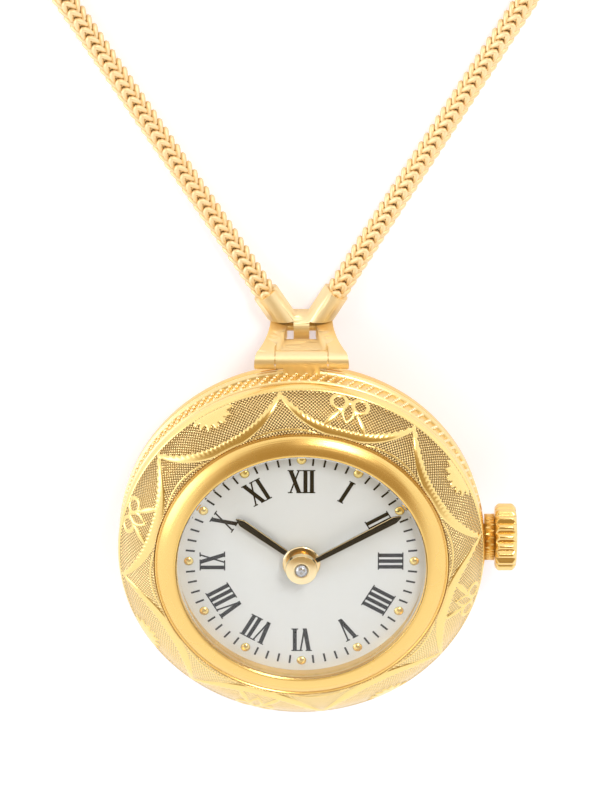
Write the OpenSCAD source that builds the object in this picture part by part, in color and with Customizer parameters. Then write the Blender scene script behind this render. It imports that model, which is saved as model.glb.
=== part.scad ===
// Ladies' pendant watch: domed round case, snap-on back, two-hand quartz movement, stirrup bow and
// a fine chain whose two strands end in one yoke. It lies on its back. Z points up through the dial,
// +Y is 12 o'clock, +X is the crown, and z = 0 is the flat of the case back. Millimetres.

/* [Case] */
// Diameter over the front lip of the case
case_d = 24.28; // [23.9:0.02:25.2]
// Thickness of the case wall
case_wall = 1.1; // [0.95:0.05:1.15]
// Height of the snap-on back, table to joint line
back_h = 3.65; // [3.5:0.05:4]
// Diameter of the flat that the watch rests on
back_flat_d = 15; // [13:0.5:15.5]
// Thickness of the back
back_wall = 0.6; // [0.5:0.05:0.7]
// Height of the band between back and front
band_h = 2.25; // [2.1:0.05:2.5]
// Height of the plain front lip
lip_h = 1.1; // [1:0.05:1.3]
// Height of the engraved dome
dome_h = 1.7; // [1.6:0.05:1.9]

/* [Bezel and crystal] */
// Outside diameter of the polished bezel
bezel_d = 19.32; // [19.1:0.02:19.6]
// Height of the bezel above the dome
bezel_h = 0.6; // [0.5:0.05:0.7]
// Diameter across the bezel lip
lip_d = 16.62; // [16.4:0.02:16.8]
// Diameter of dial that shows inside the bezel
view_d = 16.1; // [15.9:0.02:16.2]
// Height of the crystal's crown above the bezel lip
crystal_rise = 1.6; // [1.5:0.1:2]
// Thickness of the crystal
crystal_t = 0.6; // [0.5:0.05:0.7]

/* [Dial and hands] */
// Depth of the dial under the bezel lip
dial_depth = 1.41; // [1.4:0.01:1.5]
// Thickness of the dial
dial_t = 0.4; // [0.3:0.05:0.45]
// Radius of the ring of hour dots
dot_ring_r = 7.35; // [7.1:0.05:7.5]
// Diameter of an hour dot
dot_d = 0.6; // [0.4:0.05:0.7]
// Hour hand, centre to tip
hour_hand_l = 5.3; // [4.5:0.1:5.8]
// Minute hand, centre to tip
minute_hand_l = 7.45; // [6.5:0.05:7.5]
// Hour hand's angle from 12 o'clock
hour_hand_at = 304.75; // [0:0.25:359]
// Minute hand's angle from 12 o'clock
minute_hand_at = 57; // [0:1:359]
// Hour hand's boss
hour_boss_d = 2.44; // [2:0.02:2.6]
// Minute hand's boss
minute_boss_d = 2.04; // [1.6:0.02:2.2]

/* [Movement] */
// Diameter of the movement
movement_d = 15.3; // [15.1:0.1:15.4]
// Height of the movement
movement_h = 4.6; // [4.5:0.05:4.7]
// Depth of the winding stem's axis under the dial
stem_depth = 2.9; // [2.85:0.01:2.95]
// Battery diameter
battery_d = 6.8; // [6:0.1:6.8]
// Battery thickness
battery_h = 2.15; // [1.6:0.05:2.15]

/* [Crown] */
// Crown diameter
crown_d = 4.45; // [4:0.05:4.6]
// Crown length
crown_l = 1.4; // [1.3:0.05:1.6]
// Gap between the case and the crown
crown_gap = 0.64; // [0.5:0.02:0.8]
// Number of flutes
crown_flutes = 20; // [16:1:22]
// Travel when it is pulled out
crown_travel = 0.7; // [0.4:0.1:0.7]

/* [Bow and chain] */
// Length of the bow, pin to bar
bow_l = 3.35; // [3.2:0.05:3.6]
// Width of the bow over its eyes
bow_w = 6.1; // [5.8:0.1:6.6]
// Width of the bow at its bar
bow_top_w = 4.1; // [3.9:0.05:4.3]
// Angle of the bow below the level as it hangs
bow_drop = 73; // [65:1:75]
// Diameter of the bow's pin
bow_pin_d = 0.6; // [0.5:0.05:0.6]
// Diameter of the chain
chain_d = 1.6; // [1.4:0.05:1.6]

/* [Hidden] */
$fn = 64;
e = 0.01;

// Case radii and levels.
r_lip = case_d / 2;
r_case = r_lip - 0.14;
r_in = r_case - case_wall;
z_band = back_h + band_h;
z_dome = z_band + lip_h;
z_top = z_dome + dome_h;
z_rim = z_top + bezel_h;
r_bezel = bezel_d / 2;
r_neck = r_bezel - 0.71;
r_view = view_d / 2;
r_rim = lip_d / 2;
crystal_r = r_rim - 0.09;
z_dial = z_rim - dial_depth;
z_seat = z_dial - dial_t;
dial_r = r_neck - 0.45;
r_dome = r_bezel + 0.04;
z_crystal_seat = z_rim - 0.45;
back_lip_h = 0.4;
back_lip_r = r_in - 0.05;
gasket_r = r_case - 0.7;

// Movement: depths are measured down from the dial's seat.
z_stem = z_seat - stem_depth;
r_mov = movement_d / 2;
z_mov = z_seat - movement_h;
recess = 1.05;
plate_t = 1.7;
bridge_at = movement_h - 0.7;
bridge_t = 0.5;
pivot_r = 0.1;
pivot_play = 0.02;
battery_at = [-3, -2.7];
pillars = [[5.3, 2.4], [2.6, -3.9]];
posts = [[-4.5, 4], [4.5, 4]];
feet_r = r_mov - 0.65;

// Gear train: modules, tooth counts and centres.
motion_m = 0.1;
hour_m = 0.096;
train_m = 0.1;
rotor_m = 0.07;
n_cannon = 12;
n_minute = 36;
n_minute_pinion = 10;
n_hour = 40;
n_setting = 12;
n_centre = 60;
n_leaf = 6;
n_intermediate = 54;
minute_at = [motion_m * (n_cannon + n_minute) / 2, 0];
setting_at = [minute_at[0] + motion_m * (n_minute + n_setting) / 2, 0];
inter_dir = 50;
inter_at = train_m * (n_centre + n_leaf) / 2 * [cos(inter_dir), sin(inter_dir)];
rotor_dir = 160;
rotor_at = inter_at + rotor_m * (n_intermediate + n_leaf) / 2 * [cos(rotor_dir), sin(rotor_dir)];

// Crown and stem.
x_collar = r_lip + crown_gap;
x_crown = x_collar + 0.05;
neck_l = crown_travel + 0.27;
stem_r = 0.45;
tube_r = 0.9;
collar_r = 1.55;

// Bow: its pin, its bar and the way it hangs.
pin_y = r_lip + 0.66;
pin_z = back_h + 0.45;
eye_r = 0.62;
bar_r = 0.35;
bar_y = pin_y + bow_l * cos(bow_drop);
bar_z = pin_z - bow_l * sin(bow_drop);
pendant_w = 3.4;
knuckle_r = 0.95;
web_t = 0.4;
web_y = eye_r + 0.12;

// Chain: the two strands lie along lines that meet at one point under the bow. Each runs straight
// to its coil, which winds in along the floor, climbs once and winds out again on top.
meet_y = bar_y - 1.38;
strand_dir = [121.85, 59.4];
mouth_at = 4.45;
socket_z = 0.95;
floor_z = chain_d / 2 + 0.02;
strand_runs = [4.45, 5.9, 9, 12, 15.5, 19, 22.5, 26, 29.5, 33, 36.4, 38.5];
strand_drop = [1, 1, 0.35, 0, 0, 0, 0, 0, 0, 0, 0, 0];
coil_r = 10.4;
coil_pitch = chain_d + 0.42;
coil_turns = [4.31, 4.14];
coil_rings = 24;
run_lift = 2.2;
run_out = 9;

// An arc from p to q that bulges to its left by h, in n steps.
function arc(p, q, h, n = 8) =
  let(c = norm(q - p), r = (c * c / 4 + h * h) / (2 * abs(h)), s = sign(h), m = (p + q) / 2,
    u = (q - p) / c, w = [-u[1], u[0]] * s, o = m - w * (r - abs(h)), a = asin(c / 2 / r))
  [for (i = [0:n]) let(t = -a + 2 * a * i / n) o + r * (w * cos(t) + u * sin(t))];

// A tube of n sides through the points, drawn with level rings. Its ends are square to the path.
module tube(pts, r, n) {
  k = len(pts);
  dirs = [for (i = [0:k - 1]) let(d = pts[min(i + 1, k - 1)] - pts[max(i - 1, 0)]) d / norm(d)];
  verts = [for (i = [0:k - 1]) let(d = dirs[i], a = [d[1], -d[0], 0] / norm([d[0], d[1]]), b = cross(a, d))
    for (j = [0:n - 1]) pts[i] + r * (a * cos(360 * (j + 0.5) / n) + b * sin(360 * (j + 0.5) / n))];
  sides = [for (i = [0:k - 2]) for (j = [0:n - 1]) for (t = [0, 1])
    let(a = i * n + j, b = i * n + (j + 1) % n, c = a + n, d = b + n) t == 0 ? [a, b, d] : [a, d, c]];
  ends = concat([for (j = [1:n - 2]) [0, j + 1, j]],
    [for (j = [1:n - 2]) [(k - 1) * n, (k - 1) * n + j, (k - 1) * n + j + 1]]);
  polyhedron(points = verts, faces = [for (f = concat(sides, ends)) [f[2], f[1], f[0]]]);
}

// A spur gear with thin teeth, which leave play all round.
module gear(n, m, t, turn = 0) {
  tip = m * (n / 2 + 0.75);
  root = m * (n / 2 - 0.95);
  step = 360 / n;
  linear_extrude(height = t)
    polygon([for (i = [0:n - 1]) for (k = [[root, -0.27], [tip, -0.1], [tip, 0.1], [root, 0.27]])
      k[0] * [cos(step * (i + k[1]) + turn), sin(step * (i + k[1]) + turn)]]);
}

module ring(r0, r1, h) {
  difference() {
    cylinder(r = r1, h = h);
    translate([0, 0, -1]) cylinder(r = r0, h = h + 2);
  }
}

// Lies along +X from x, on the stem's axis.
module along_stem(x) {
  translate([x, 0, z_stem]) rotate([0, 90, 0]) children();
}

// Moves to a place in the movement, at a depth under the dial's seat.
module at(p, depth) {
  translate([p[0], p[1], z_seat - depth]) children();
}

// Case
module case_back() {
  outside = concat([[0, 0]], arc([back_flat_d / 2, 0], [r_case - 0.15, back_h - 0.9], -0.55),
    [[r_case, back_h - 0.45], [r_case, back_h]]);
  inside = concat([[back_lip_r, back_h], [back_lip_r, back_h + back_lip_h],
    [back_lip_r - 0.35, back_h + back_lip_h]],
    arc([back_lip_r - 0.35, back_h - 0.7], [back_flat_d / 2 - 0.3, back_wall], 0.55), [[0, back_wall]]);
  color("gold") difference() {
    union() {
      rotate_extrude() polygon(concat(outside, inside));
      translate([0, 0, back_wall - 0.1]) ring(r_mov + 0.15, r_mov + 0.6, z_mov - back_wall + 0.1);
    }
    translate([0, 0, back_h - 0.2]) ring(gasket_r - 0.2, gasket_r + 0.2, 1);
    rotate(-60) translate([r_case + 0.1, 0, back_h - 0.12]) cube([1, 2.4, 0.3], center = true);
  }
}

module back_gasket() {
  color("dimgray") translate([0, 0, back_h - 0.2]) ring(gasket_r - 0.2, gasket_r + 0.2, 0.2);
}

module case_middle() {
  color("gold") difference() {
    rotate_extrude() polygon(concat([[r_in, back_h]], arc([r_case, back_h], [r_case, z_band], -0.15),
      [[r_in, z_band]]));
    along_stem(r_in - 1) cylinder(r = tube_r, h = case_wall + 2);
    pendant_foot();
  }
}

module case_front() {
  color("gold") rotate_extrude() polygon(concat(
    [[r_in, z_seat], [r_in, z_band]],
    arc([r_case, z_band], [r_case, z_dome], -0.14),
    arc([r_case, z_dome + 0.01], [r_dome, z_top], -0.3),
    [[r_dome, z_top - 0.25], [r_neck, z_top - 0.25], [r_neck, z_dial], [dial_r + 0.03, z_dial],
    [dial_r + 0.03, z_seat]]));
}

module bezel() {
  color("gold") rotate_extrude() polygon(concat(
    [[r_view + 0.03, z_dial], [r_neck, z_dial], [r_neck, z_top - 0.25], [r_bezel, z_top - 0.25]],
    arc([r_bezel, z_top], [r_rim + 0.06, z_rim], -0.12),
    [[r_rim, z_rim - 0.03], [crystal_r + 0.01, z_crystal_seat], [r_view + 0.05, z_crystal_seat]]));
}

module crystal() {
  rim = z_rim + 0.02;
  color([0.9, 0.95, 1, 0.3]) rotate_extrude() polygon(concat(
    [[r_view - 0.1, z_crystal_seat], [crystal_r, z_crystal_seat]],
    arc([crystal_r, rim], [0, z_rim + crystal_rise], -0.37, 12),
    arc([0, z_rim + crystal_rise - crystal_t], [r_view - 0.1, z_crystal_seat + 0.03], 0.34, 12)));
}

// Dial and hands
module dial() {
  color("white") union() {
    translate([0, 0, z_seat]) ring(0.95, dial_r, dial_t);
    for (a = [135, 315]) at(feet_r * [cos(a), sin(a)], 0.9) cylinder(r = 0.3, h = 0.9 + dial_t / 2);
  }
}

module hour_dots() {
  color("gold") for (i = [0:11]) rotate(30 * i) translate([0, dot_ring_r, z_dial])
    rotate_extrude() polygon(concat([[0, 0]], arc([dot_d / 2, 0], [0, dot_d / 4], -dot_d / 30, 6)));
}

// A flat baton that widens from its neck and ends in a point.
module blade(l, neck, w0, w1, t) {
  linear_extrude(height = t)
    polygon([[-neck, 0], [-w0, 1.4], [-w1, l * 0.8], [0, l], [w1, l * 0.8], [w0, 1.4], [neck, 0]]);
}

module hour_hand() {
  color("gold") rotate(-hour_hand_at) translate([0, 0, z_dial]) difference() {
    union() {
      translate([0, 0, 0.3]) cylinder(d = hour_boss_d, h = 0.13);
      translate([0, 0, 0.12]) cylinder(r = 0.85, h = 0.2);
      translate([0, 0, 0.31]) blade(hour_hand_l, 0.2, 0.19, 0.27, 0.11);
    }
    translate([0, 0, -1]) cylinder(r = 0.61, h = 3);
  }
}

module minute_hand() {
  color("gold") rotate(-minute_hand_at) translate([0, 0, z_dial]) difference() {
    union() {
      translate([0, 0, 0.86]) cylinder(d = minute_boss_d, h = 0.42);
      translate([0, 0, 1.28]) cylinder(r1 = minute_boss_d / 2, r2 = minute_boss_d / 2 - 0.15, h = 0.09);
      translate([0, 0, 0.6]) cylinder(r = 0.7, h = 0.3);
      translate([0, 0, 0.86]) blade(minute_hand_l, 0.2, 0.18, 0.25, 0.11);
    }
    translate([0, 0, -1]) cylinder(r = 0.36, h = 4);
  }
}

// Motion work under the dial
module cannon_pinion() {
  color("khaki") difference() {
    union() {
      at([0, 0], 0.92) gear(n_cannon, motion_m, 0.34);
      at([0, 0], 0.58) cylinder(r = 0.35, h = 0.58 + dial_t + 1.56);
    }
    at([0, 0], 1) cylinder(r = 0.23, h = 1.4 + dial_t);
    at([0, 0], -dial_t - 1.5) cylinder(r1 = 0, r2 = 0.14, h = 0.14);
  }
}

module hour_wheel() {
  color("khaki") difference() {
    union() {
      at([0, 0], 0.45) gear(n_hour, hour_m, 0.3);
      at([0, 0], 0.2) cylinder(r = 0.6, h = 0.2 + dial_t + 0.42);
    }
    at([0, 0], 1) cylinder(r = 0.38, h = 3);
  }
}

module minute_wheel() {
  color("khaki") difference() {
    union() {
      at(minute_at, 0.9) gear(n_minute, motion_m, 0.3, 5);
      at(minute_at, 0.62) gear(n_minute_pinion, hour_m, 0.5, 18);
    }
    at(minute_at, 1) cylinder(r = 0.22, h = 1);
  }
}

module setting_wheel() {
  color("khaki") union() {
    at(setting_at, 0.9) gear(n_setting, motion_m, 0.3);
    at(setting_at, 2.05) cylinder(r = 0.25, h = 1.3);
    at(setting_at, 2.05) difference() {
      cylinder(r = 0.95, h = 0.25);
      for (i = [0:17]) rotate(20 * i) translate([0.55, -0.06, -1]) cube([0.6, 0.12, 1.12]);
    }
  }
}

// Going train under the plate
module centre_wheel() {
  color("khaki") union() {
    at([0, 0], 2.05) gear(n_centre, train_m, 0.2, inter_dir);
    at([0, 0], bridge_at - 0.05) cylinder(r = 0.22, h = bridge_at - 0.05 + dial_t + 0.3);
    at([0, 0], bridge_at + 0.3) cylinder(r = pivot_r, h = 0.5);
  }
}

module intermediate_wheel() {
  color("khaki") union() {
    at(inter_at, 2.2) gear(n_leaf, train_m, 0.4, inter_dir + 210);
    at(inter_at, 2.6) gear(n_intermediate, rotor_m, 0.15, rotor_dir);
    at(inter_at, bridge_at - 0.05) cylinder(r = 0.15, h = bridge_at - 0.15 - plate_t);
    at(inter_at, bridge_at + 0.3) cylinder(r = pivot_r, h = bridge_at + 0.3 - plate_t + 0.3);
  }
}

module rotor() {
  color("dimgray") union() {
    at(rotor_at, 2.7) gear(n_leaf, rotor_m, 0.35, rotor_dir + 210);
    at(rotor_at, 3.6) cylinder(r = 0.7, h = 0.6);
    at(rotor_at, bridge_at - 0.05) cylinder(r = 0.15, h = bridge_at - 0.15 - plate_t);
    at(rotor_at, bridge_at + 0.3) cylinder(r = pivot_r, h = bridge_at + 0.3 - plate_t + 0.3);
  }
}

// Frame of the movement
module main_plate() {
  color("lightsteelblue") difference() {
    union() {
      at([0, 0], plate_t) cylinder(r = r_mov, h = plate_t);
      at([r_mov - 0.8, 0], stem_depth + 0.8) translate([-0.55, -1.2, 0])
        cube([1.1, 2.4, stem_depth + 0.8 - plate_t + 0.2]);
      for (p = pillars) at(p, bridge_at) cylinder(r = 0.5, h = bridge_at - plate_t + 0.2);
      for (p = posts) at(p, 3.05) cylinder(r = 0.35, h = 3.25 - plate_t);
    }
    at([0, 0], recess) cylinder(r = 2.15, h = 2);
    at(minute_at, recess) cylinder(r = 2.05, h = 2);
    at(setting_at, recess) cylinder(r = 0.9, h = 2);
    at(setting_at, 2) cylinder(r = 0.3, h = 2);
    at([0, 0], 2) cylinder(r = 0.3, h = 2);
    for (p = [inter_at, rotor_at]) at(p, 2) cylinder(r = pivot_r + pivot_play, h = 0.65);
    for (a = [135, 315]) at(feet_r * [cos(a), sin(a)], 1.2) cylinder(r = 0.32, h = 2);
    for (p = pillars) at(p, bridge_at + 1) cylinder(r = 0.2, h = 2.4);
    for (p = posts) at(p, 4) cylinder(r = 0.16, h = 1.8);
    along_stem(r_mov - 2) cylinder(r = 0.62, h = 3);
    at([r_mov - 1.5, 0], stem_depth + 0.9) translate([0, -0.3, 0]) cube([1.05, 0.6, 0.6]);
  }
  color("khaki") at(minute_at, recess) cylinder(r = 0.2, h = 0.75);
}

module train_bridge() {
  color("lightsteelblue") difference() {
    union() {
      at([0, 0], bridge_at + bridge_t) linear_extrude(height = bridge_t)
        polygon([[5.9, 1.6], [5.9, 3.1], [4.7, 3.1], [3.2, 4.1], [-0.6, 4.1], [-0.9, 2.6], [-0.35, 0.2],
          [0.1, -0.5], [1.9, -3.2], [1.9, -4.5], [3.3, -4.5], [3.3, -3], [1.9, -0.9], [4.7, -0.9], [4.7, 1.6]]);
      at([4.3, 0], bridge_at) translate([-0.4, -0.5, 0]) cube([0.8, 1, bridge_at - stem_depth + 0.45]);
    }
    for (p = [[0, 0], inter_at, rotor_at]) at(p, bridge_at + 0.35) cylinder(r = pivot_r + pivot_play, h = 1);
    for (p = pillars) at(p, bridge_at + 1) cylinder(r = 0.22, h = 2);
    for (p = pillars) at(p, bridge_at + 1) cylinder(r = 0.47, h = 0.75);
    along_stem(3) cylinder(r = 0.3, h = 2);
  }
}

module bridge_screws() {
  color("silver") union() {
    for (p = pillars) at(p, bridge_at + 0.5) difference() {
      union() {
        cylinder(r = 0.45, h = 0.25);
        translate([0, 0, 0.2]) cylinder(r = 0.19, h = 1.6);
      }
      rotate(30) translate([-1, -0.06, -1]) cube([2, 0.12, 1.1]);
    }
    for (p = posts) at(p, 3.8) union() {
      cylinder(r = 0.35, h = 0.25);
      cylinder(r = 0.15, h = 1.5);
    }
  }
}

module stator() {
  color("slategray") difference() {
    union() {
      at([0, 0], 3.55) linear_extrude(height = 0.5)
        polygon([[-5, 3.4], [-3.4, 2.1], [3.4, 2.1], [5, 3.4], [5, 5.6], [4, 5.6], [4, 4.35], [-4, 4.35],
          [-4, 5.6], [-5, 5.6]]);
      at(rotor_at, 3.55) cylinder(r = 1.15, h = 0.5);
    }
    at(rotor_at, 4) cylinder(r = 1, h = 2);
    at(inter_at, 4) cylinder(r = 0.4, h = 2);
    for (p = posts) at(p, 4) cylinder(r = 0.17, h = 2);
  }
}

module coil_core() {
  color("slategray") at([0, 5.35], 3.05) translate([-4.6, -0.4, 0]) cube([9.2, 0.8, 0.4]);
}

module coil_winding() {
  color("peru") difference() {
    at([-3.4, 5.35], 2.85) rotate([0, 90, 0]) cylinder(r = 0.9, h = 6.8);
    at([0, 5.35], 3.06) translate([-5, -0.41, 0]) cube([10, 0.82, 0.42]);
  }
}

module circuit_board() {
  color("darkgreen") at([0, 0], movement_h - 0.4) linear_extrude(height = 0.25)
    polygon([[-7.2, 0.9], [-1.3, 0.9], [-1.3, 4.2], [-3.4, 4.6], [-4.4, 5.6], [-5.9, 4.4], [-6.9, 2.6]]);
}

module quartz_can() {
  color("silver") at([-6.8, 1.4], 3.3) rotate([0, 90, 0]) cylinder(r = 0.6, h = 4.9);
}

module battery() {
  color("silver") at(battery_at, 2.3 + battery_h) union() {
    translate([0, 0, 0.25]) cylinder(d = battery_d, h = battery_h - 0.25);
    cylinder(d = battery_d - 1, h = 0.3);
  }
}

module battery_clip() {
  color("silver") union() {
    at(battery_at, movement_h + 0.05) rotate(-42) translate([-0.6, -0.9, 0]) cube([1.2, 5, 0.2 - e]);
    at(battery_at, movement_h + 0.05) cylinder(r = 1.3, h = 0.2 - e);
  }
}

module movement_ring() {
  color("white") difference() {
    rotate_extrude() polygon([[r_mov + 0.05, z_mov], [back_lip_r - 0.75, z_mov],
      [back_lip_r - 0.75, back_h + back_lip_h + 0.2], [r_in - 0.1, back_h + back_lip_h + 0.2],
      [r_in - 0.1, z_seat], [r_mov + 0.05, z_seat]]);
    along_stem(r_mov - 1) cylinder(r = 0.95, h = 6);
  }
}

// Crown, stem and what they turn
module crown_tube() {
  color("gold") difference() {
    union() {
      along_stem(r_in) cylinder(r = tube_r, h = case_wall + 0.2);
      along_stem(r_case + 0.16) cylinder(r = collar_r, h = x_collar - r_case - 0.16);
      along_stem(x_collar - e) cylinder(r = 1.1, h = neck_l + e);
    }
    along_stem(r_in - 1) cylinder(r = stem_r + 0.1, h = 6);
  }
}

module crown() {
  r = crown_d / 2;
  flute_r = PI * r / crown_flutes * 0.92;
  color("gold") difference() {
    intersection() {
      along_stem(x_crown) union() {
        cylinder(r = r - flute_r * 0.9, h = crown_l + 0.2);
        for (i = [0:crown_flutes - 1]) rotate(360 * i / crown_flutes) translate([r - flute_r, 0, 0])
          cylinder(r = flute_r, h = crown_l + 0.2, $fn = 24);
      }
      along_stem(x_crown) rotate_extrude() polygon(concat([[0, 0], [r - 0.22, 0], [r + 0.01, 0.22],
        [r + 0.01, crown_l - 0.25], [r - 0.3, crown_l]], arc([r - 0.4, crown_l], [0, crown_l + 0.12], -0.04, 5)));
    }
    along_stem(x_crown - 1) cylinder(r = 1.35, h = 1 + neck_l + 0.02);
    along_stem(x_crown - 1) cylinder(r = stem_r, h = 1 + neck_l + 0.25);
  }
}

module crown_gasket() {
  color("dimgray") along_stem(x_crown + 0.17) rotate_extrude() translate([1.225, 0]) circle(r = 0.115, $fn = 24);
}

module stem() {
  color("silver") union() {
    along_stem(r_mov - 0.2) cylinder(r = stem_r - 0.01, h = x_crown + neck_l + 0.25 - r_mov + 0.2);
    along_stem(r_mov - 1.35) cylinder(r = 0.58, h = 1.25);
    along_stem(r_mov - 1.8) cylinder(r = 0.35, h = 0.6);
    along_stem(r_mov - 2.9) translate([-0.35, -0.35, 0]) cube([0.7, 0.7, 1.15]);
    along_stem(r_mov - 4.25) cylinder(r = 0.28, h = 1.4);
  }
}

module setting_pinion() {
  color("silver") along_stem(4.95) difference() {
    gear(12, 0.11, 0.8);
    translate([-0.37, -0.37, -1]) cube([0.74, 0.74, 3]);
  }
}

module setting_lever() {
  color("silver") union() {
    at([r_mov - 1.75, 0], stem_depth + 1) translate([0, -2.4, 0]) cube([0.4, 2.7, 0.15]);
    at([r_mov - 1.68, 0], stem_depth + 0.9) translate([0, -0.2, 0]) cube([0.24, 0.4, 0.53]);
  }
}

// Pendant, bow and yoke
module pendant_foot() {
  translate([-1.2, r_in + 0.3, back_h + 0.05]) cube([2.4, pin_y - r_in - 0.3, pin_z + 0.5 - back_h]);
}

module pendant() {
  color("gold") difference() {
    union() {
      translate([-pendant_w / 2, pin_y, pin_z]) rotate([0, 90, 0]) cylinder(r = eye_r, h = pendant_w);
      pendant_foot();
    }
    translate([-5, pin_y, pin_z]) rotate([0, 90, 0]) cylinder(d = bow_pin_d + 0.1, h = 10);
  }
}

// The bow's own axes: X along its pin, Y from the pin to the bar, Z out of its face.
module on_bow() {
  translate([0, pin_y, pin_z]) rotate([-bow_drop, 0, 0]) children();
}

module bow() {
  w0 = bow_w / 2;
  w1 = bow_top_w / 2;
  n0 = pendant_w / 2 + 0.06;
  n1 = w1 - 1.12;
  side = concat([[w0 + 0.05, -eye_r]], arc([w0 - 0.1, 0], [w1, bow_l - 0.3], 0.16),
    [[w1, bow_l + 0.5], [n1, bow_l + 0.5]], arc([n1, bow_l - 0.6], [n0, eye_r], -0.06), [[n0, -eye_r]]);
  color("gold") on_bow() difference() {
    intersection() {
      union() {
        for (s = [0, 1]) mirror([s, 0, 0]) translate([0, 0, -1]) linear_extrude(height = 2) polygon(side);
        translate([-w1 + 0.1, bow_l, 0]) rotate([0, 90, 0]) cylinder(r = bar_r, h = 2 * w1 - 0.2);
        translate([-n0 - 0.3, web_y, -eye_r]) cube([2 * n0 + 0.6, bow_l - knuckle_r - 0.15 - web_y, web_t]);
      }
      union() {
        translate([-5, 0, 0]) rotate([0, 90, 0]) cylinder(r = eye_r, h = 10);
        translate([-5, bow_l, 0]) rotate([0, 90, 0]) cylinder(r = 0.5, h = 10);
        translate([-5, 0, 0]) rotate([0, 90, 0]) linear_extrude(height = 10)
          polygon([[-eye_r + 0.005, 0.1], [eye_r - 0.005, 0.1], [0.5, bow_l], [-0.5, bow_l]]);
      }
    }
    translate([-5, 0, 0]) rotate([0, 90, 0]) cylinder(d = bow_pin_d, h = 10);
  }
}

module bow_pin() {
  color("gold") on_bow() translate([-bow_w / 2 + 0.02, 0, 0]) rotate([0, 90, 0])
    cylinder(d = bow_pin_d, h = bow_w - 0.04);
}

// A place on strand i's line, from the point where the lines meet.
function on_line(i, t, z) = [t * cos(strand_dir[i]), meet_y + t * sin(strand_dir[i]), z];

module on_strand(i, t, z) {
  translate(on_line(i, t, z)) rotate([0, 90, strand_dir[i]]) children();
}

module chain_yoke() {
  face = bar_y + 0.6;
  color("gold") difference() {
    union() {
      for (i = [0, 1]) intersection() {
        on_strand(i, 1, socket_z) cylinder(r = chain_d / 2 + 0.08, h = mouth_at - 1);
        translate([-4, face, -1]) cube([8, 5, 4]);
      }
      translate([-0.9, bar_y + 0.2, bar_z - 0.55]) cube([1.8, 0.75, 1]);
      translate([-0.52, bar_y, bar_z]) rotate([0, 90, 0]) cylinder(r = knuckle_r, h = 1.04);
    }
    translate([-3, bar_y, bar_z]) rotate([0, 90, 0]) cylinder(r = bar_r + 0.05, h = 6);
    translate([-3, bar_y - 0.5, -0.94]) cube([6, 6, 1]);
  }
}

// Chain
module strand(i) {
  color("goldenrod") tube([for (k = [0:len(strand_runs) - 1])
    on_line(i, strand_runs[k], floor_z + (socket_z - floor_z) * strand_drop[k])], chain_d / 2, 8);
}

// The coil of side i: s is -1 when it winds clockwise, as on the left.
last_run = strand_runs[len(strand_runs) - 1];
function ease(t) = t <= 0 ? 0 : t >= 1 ? 1 : (1 - cos(180 * t)) / 2;
function coil_path(i) =
  let(s = i == 0 ? -1 : 1, d = strand_dir[i], p = on_line(i, last_run + chain_d, 0), n = coil_turns[i],
    c = [p[0] + coil_r * cos(d + 90 * s), p[1] + coil_r * sin(d + 90 * s)], a0 = d - 90 * s,
    count = round(n * coil_rings), a1 = a0 + s * 360 * n)
  concat(
    [on_line(i, last_run, floor_z)],
    [for (k = [0:count]) let(u = k / count * n, v = n / 2 - abs(u - n / 2), r = coil_r - coil_pitch * v,
      a = a0 + s * 360 * u) [c[0] + r * cos(a), c[1] + r * sin(a), floor_z + coil_pitch * ease((u - n / 2) * 2 + 0.5)]],
    [for (q = [1.2, 2.4, 3.6, 4.8, 6, 7.2, 8.2, run_out, run_out + chain_d])
      [c[0] + coil_r * cos(a1) - s * q * sin(a1), c[1] + coil_r * sin(a1) + s * q * cos(a1),
      floor_z + coil_pitch * (1 - ease((q - run_lift) / (run_out - run_lift)))]]);

module coil(i) {
  color("goldenrod") tube(coil_path(i), chain_d / 2, 6);
}

// The least gap of a coil to itself, over pairs of rings more than half a turn apart.
function own_gap(p) = min([for (a = [0:len(p) - 14]) min([for (b = [a + 12:len(p) - 1]) norm(p[a] - p[b])])]) - chain_d;
for (i = [0, 1]) echo(str("coil ", i, " own gap ", own_gap(coil_path(i))));

// Where the chain of side i ends, and the level direction in which it ends.
function chain_end(i) = let(p = coil_path(i)) p[len(p) - 1];
function end_dir(i) = let(p = coil_path(i), d = p[len(p) - 1] - p[len(p) - 2]) atan2(d[1], d[0]);

module on_end(i, x = 0, z = 0) {
  translate(chain_end(i)) rotate(end_dir(i)) translate([x, 0, z]) children();
}

cap_l = 1.8;
eye_mid = 0.68;
eye_wire = 0.18;
link_mid = 1.25;
link_wire = 0.2;
end_mid = 1.5;
link_z = link_mid + link_wire + 0.05;
eye_x = cap_l + eye_mid;
link_half = sqrt(pow(link_mid, 2) - pow(link_z - floor_z, 2));
end_z = end_mid + link_wire + 0.05;
end_half = sqrt(pow(end_mid, 2) - pow(end_z - floor_z, 2));
clasp_mid = 2.45;
clasp_r = 0.55;
clasp_x = eye_x + 2 * link_half + eye_mid + clasp_mid + clasp_r - 0.05;

module flat_ring(mid, wire) {
  rotate_extrude() translate([mid, 0]) circle(r = wire, $fn = 24);
}

module end_caps() {
  color("gold") for (i = [0, 1]) on_end(i) union() {
    rotate([0, 90, 0]) cylinder(r = chain_d / 2 + 0.02, h = cap_l);
    translate([eye_x, 0, 0]) flat_ring(eye_mid, eye_wire);
  }
}

module jump_ring() {
  color("gold") on_end(0, eye_x + link_half, link_z - floor_z) rotate([90, 0, 0]) flat_ring(link_mid, link_wire);
}

module end_ring() {
  color("gold") on_end(1, eye_x + end_half, end_z - floor_z) rotate([90, 0, 0]) flat_ring(end_mid, link_wire);
}

// The clasp's own axes: its centre, with the chain on its -X side. Its mouth is open from 20 to 70 degrees.
module on_clasp() {
  on_end(0, clasp_x) children();
}

module bent(mid, r, a0, a1) {
  rotate(a0) rotate_extrude(angle = a1 - a0) translate([mid, 0]) circle(r = r, $fn = 24);
}

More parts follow.
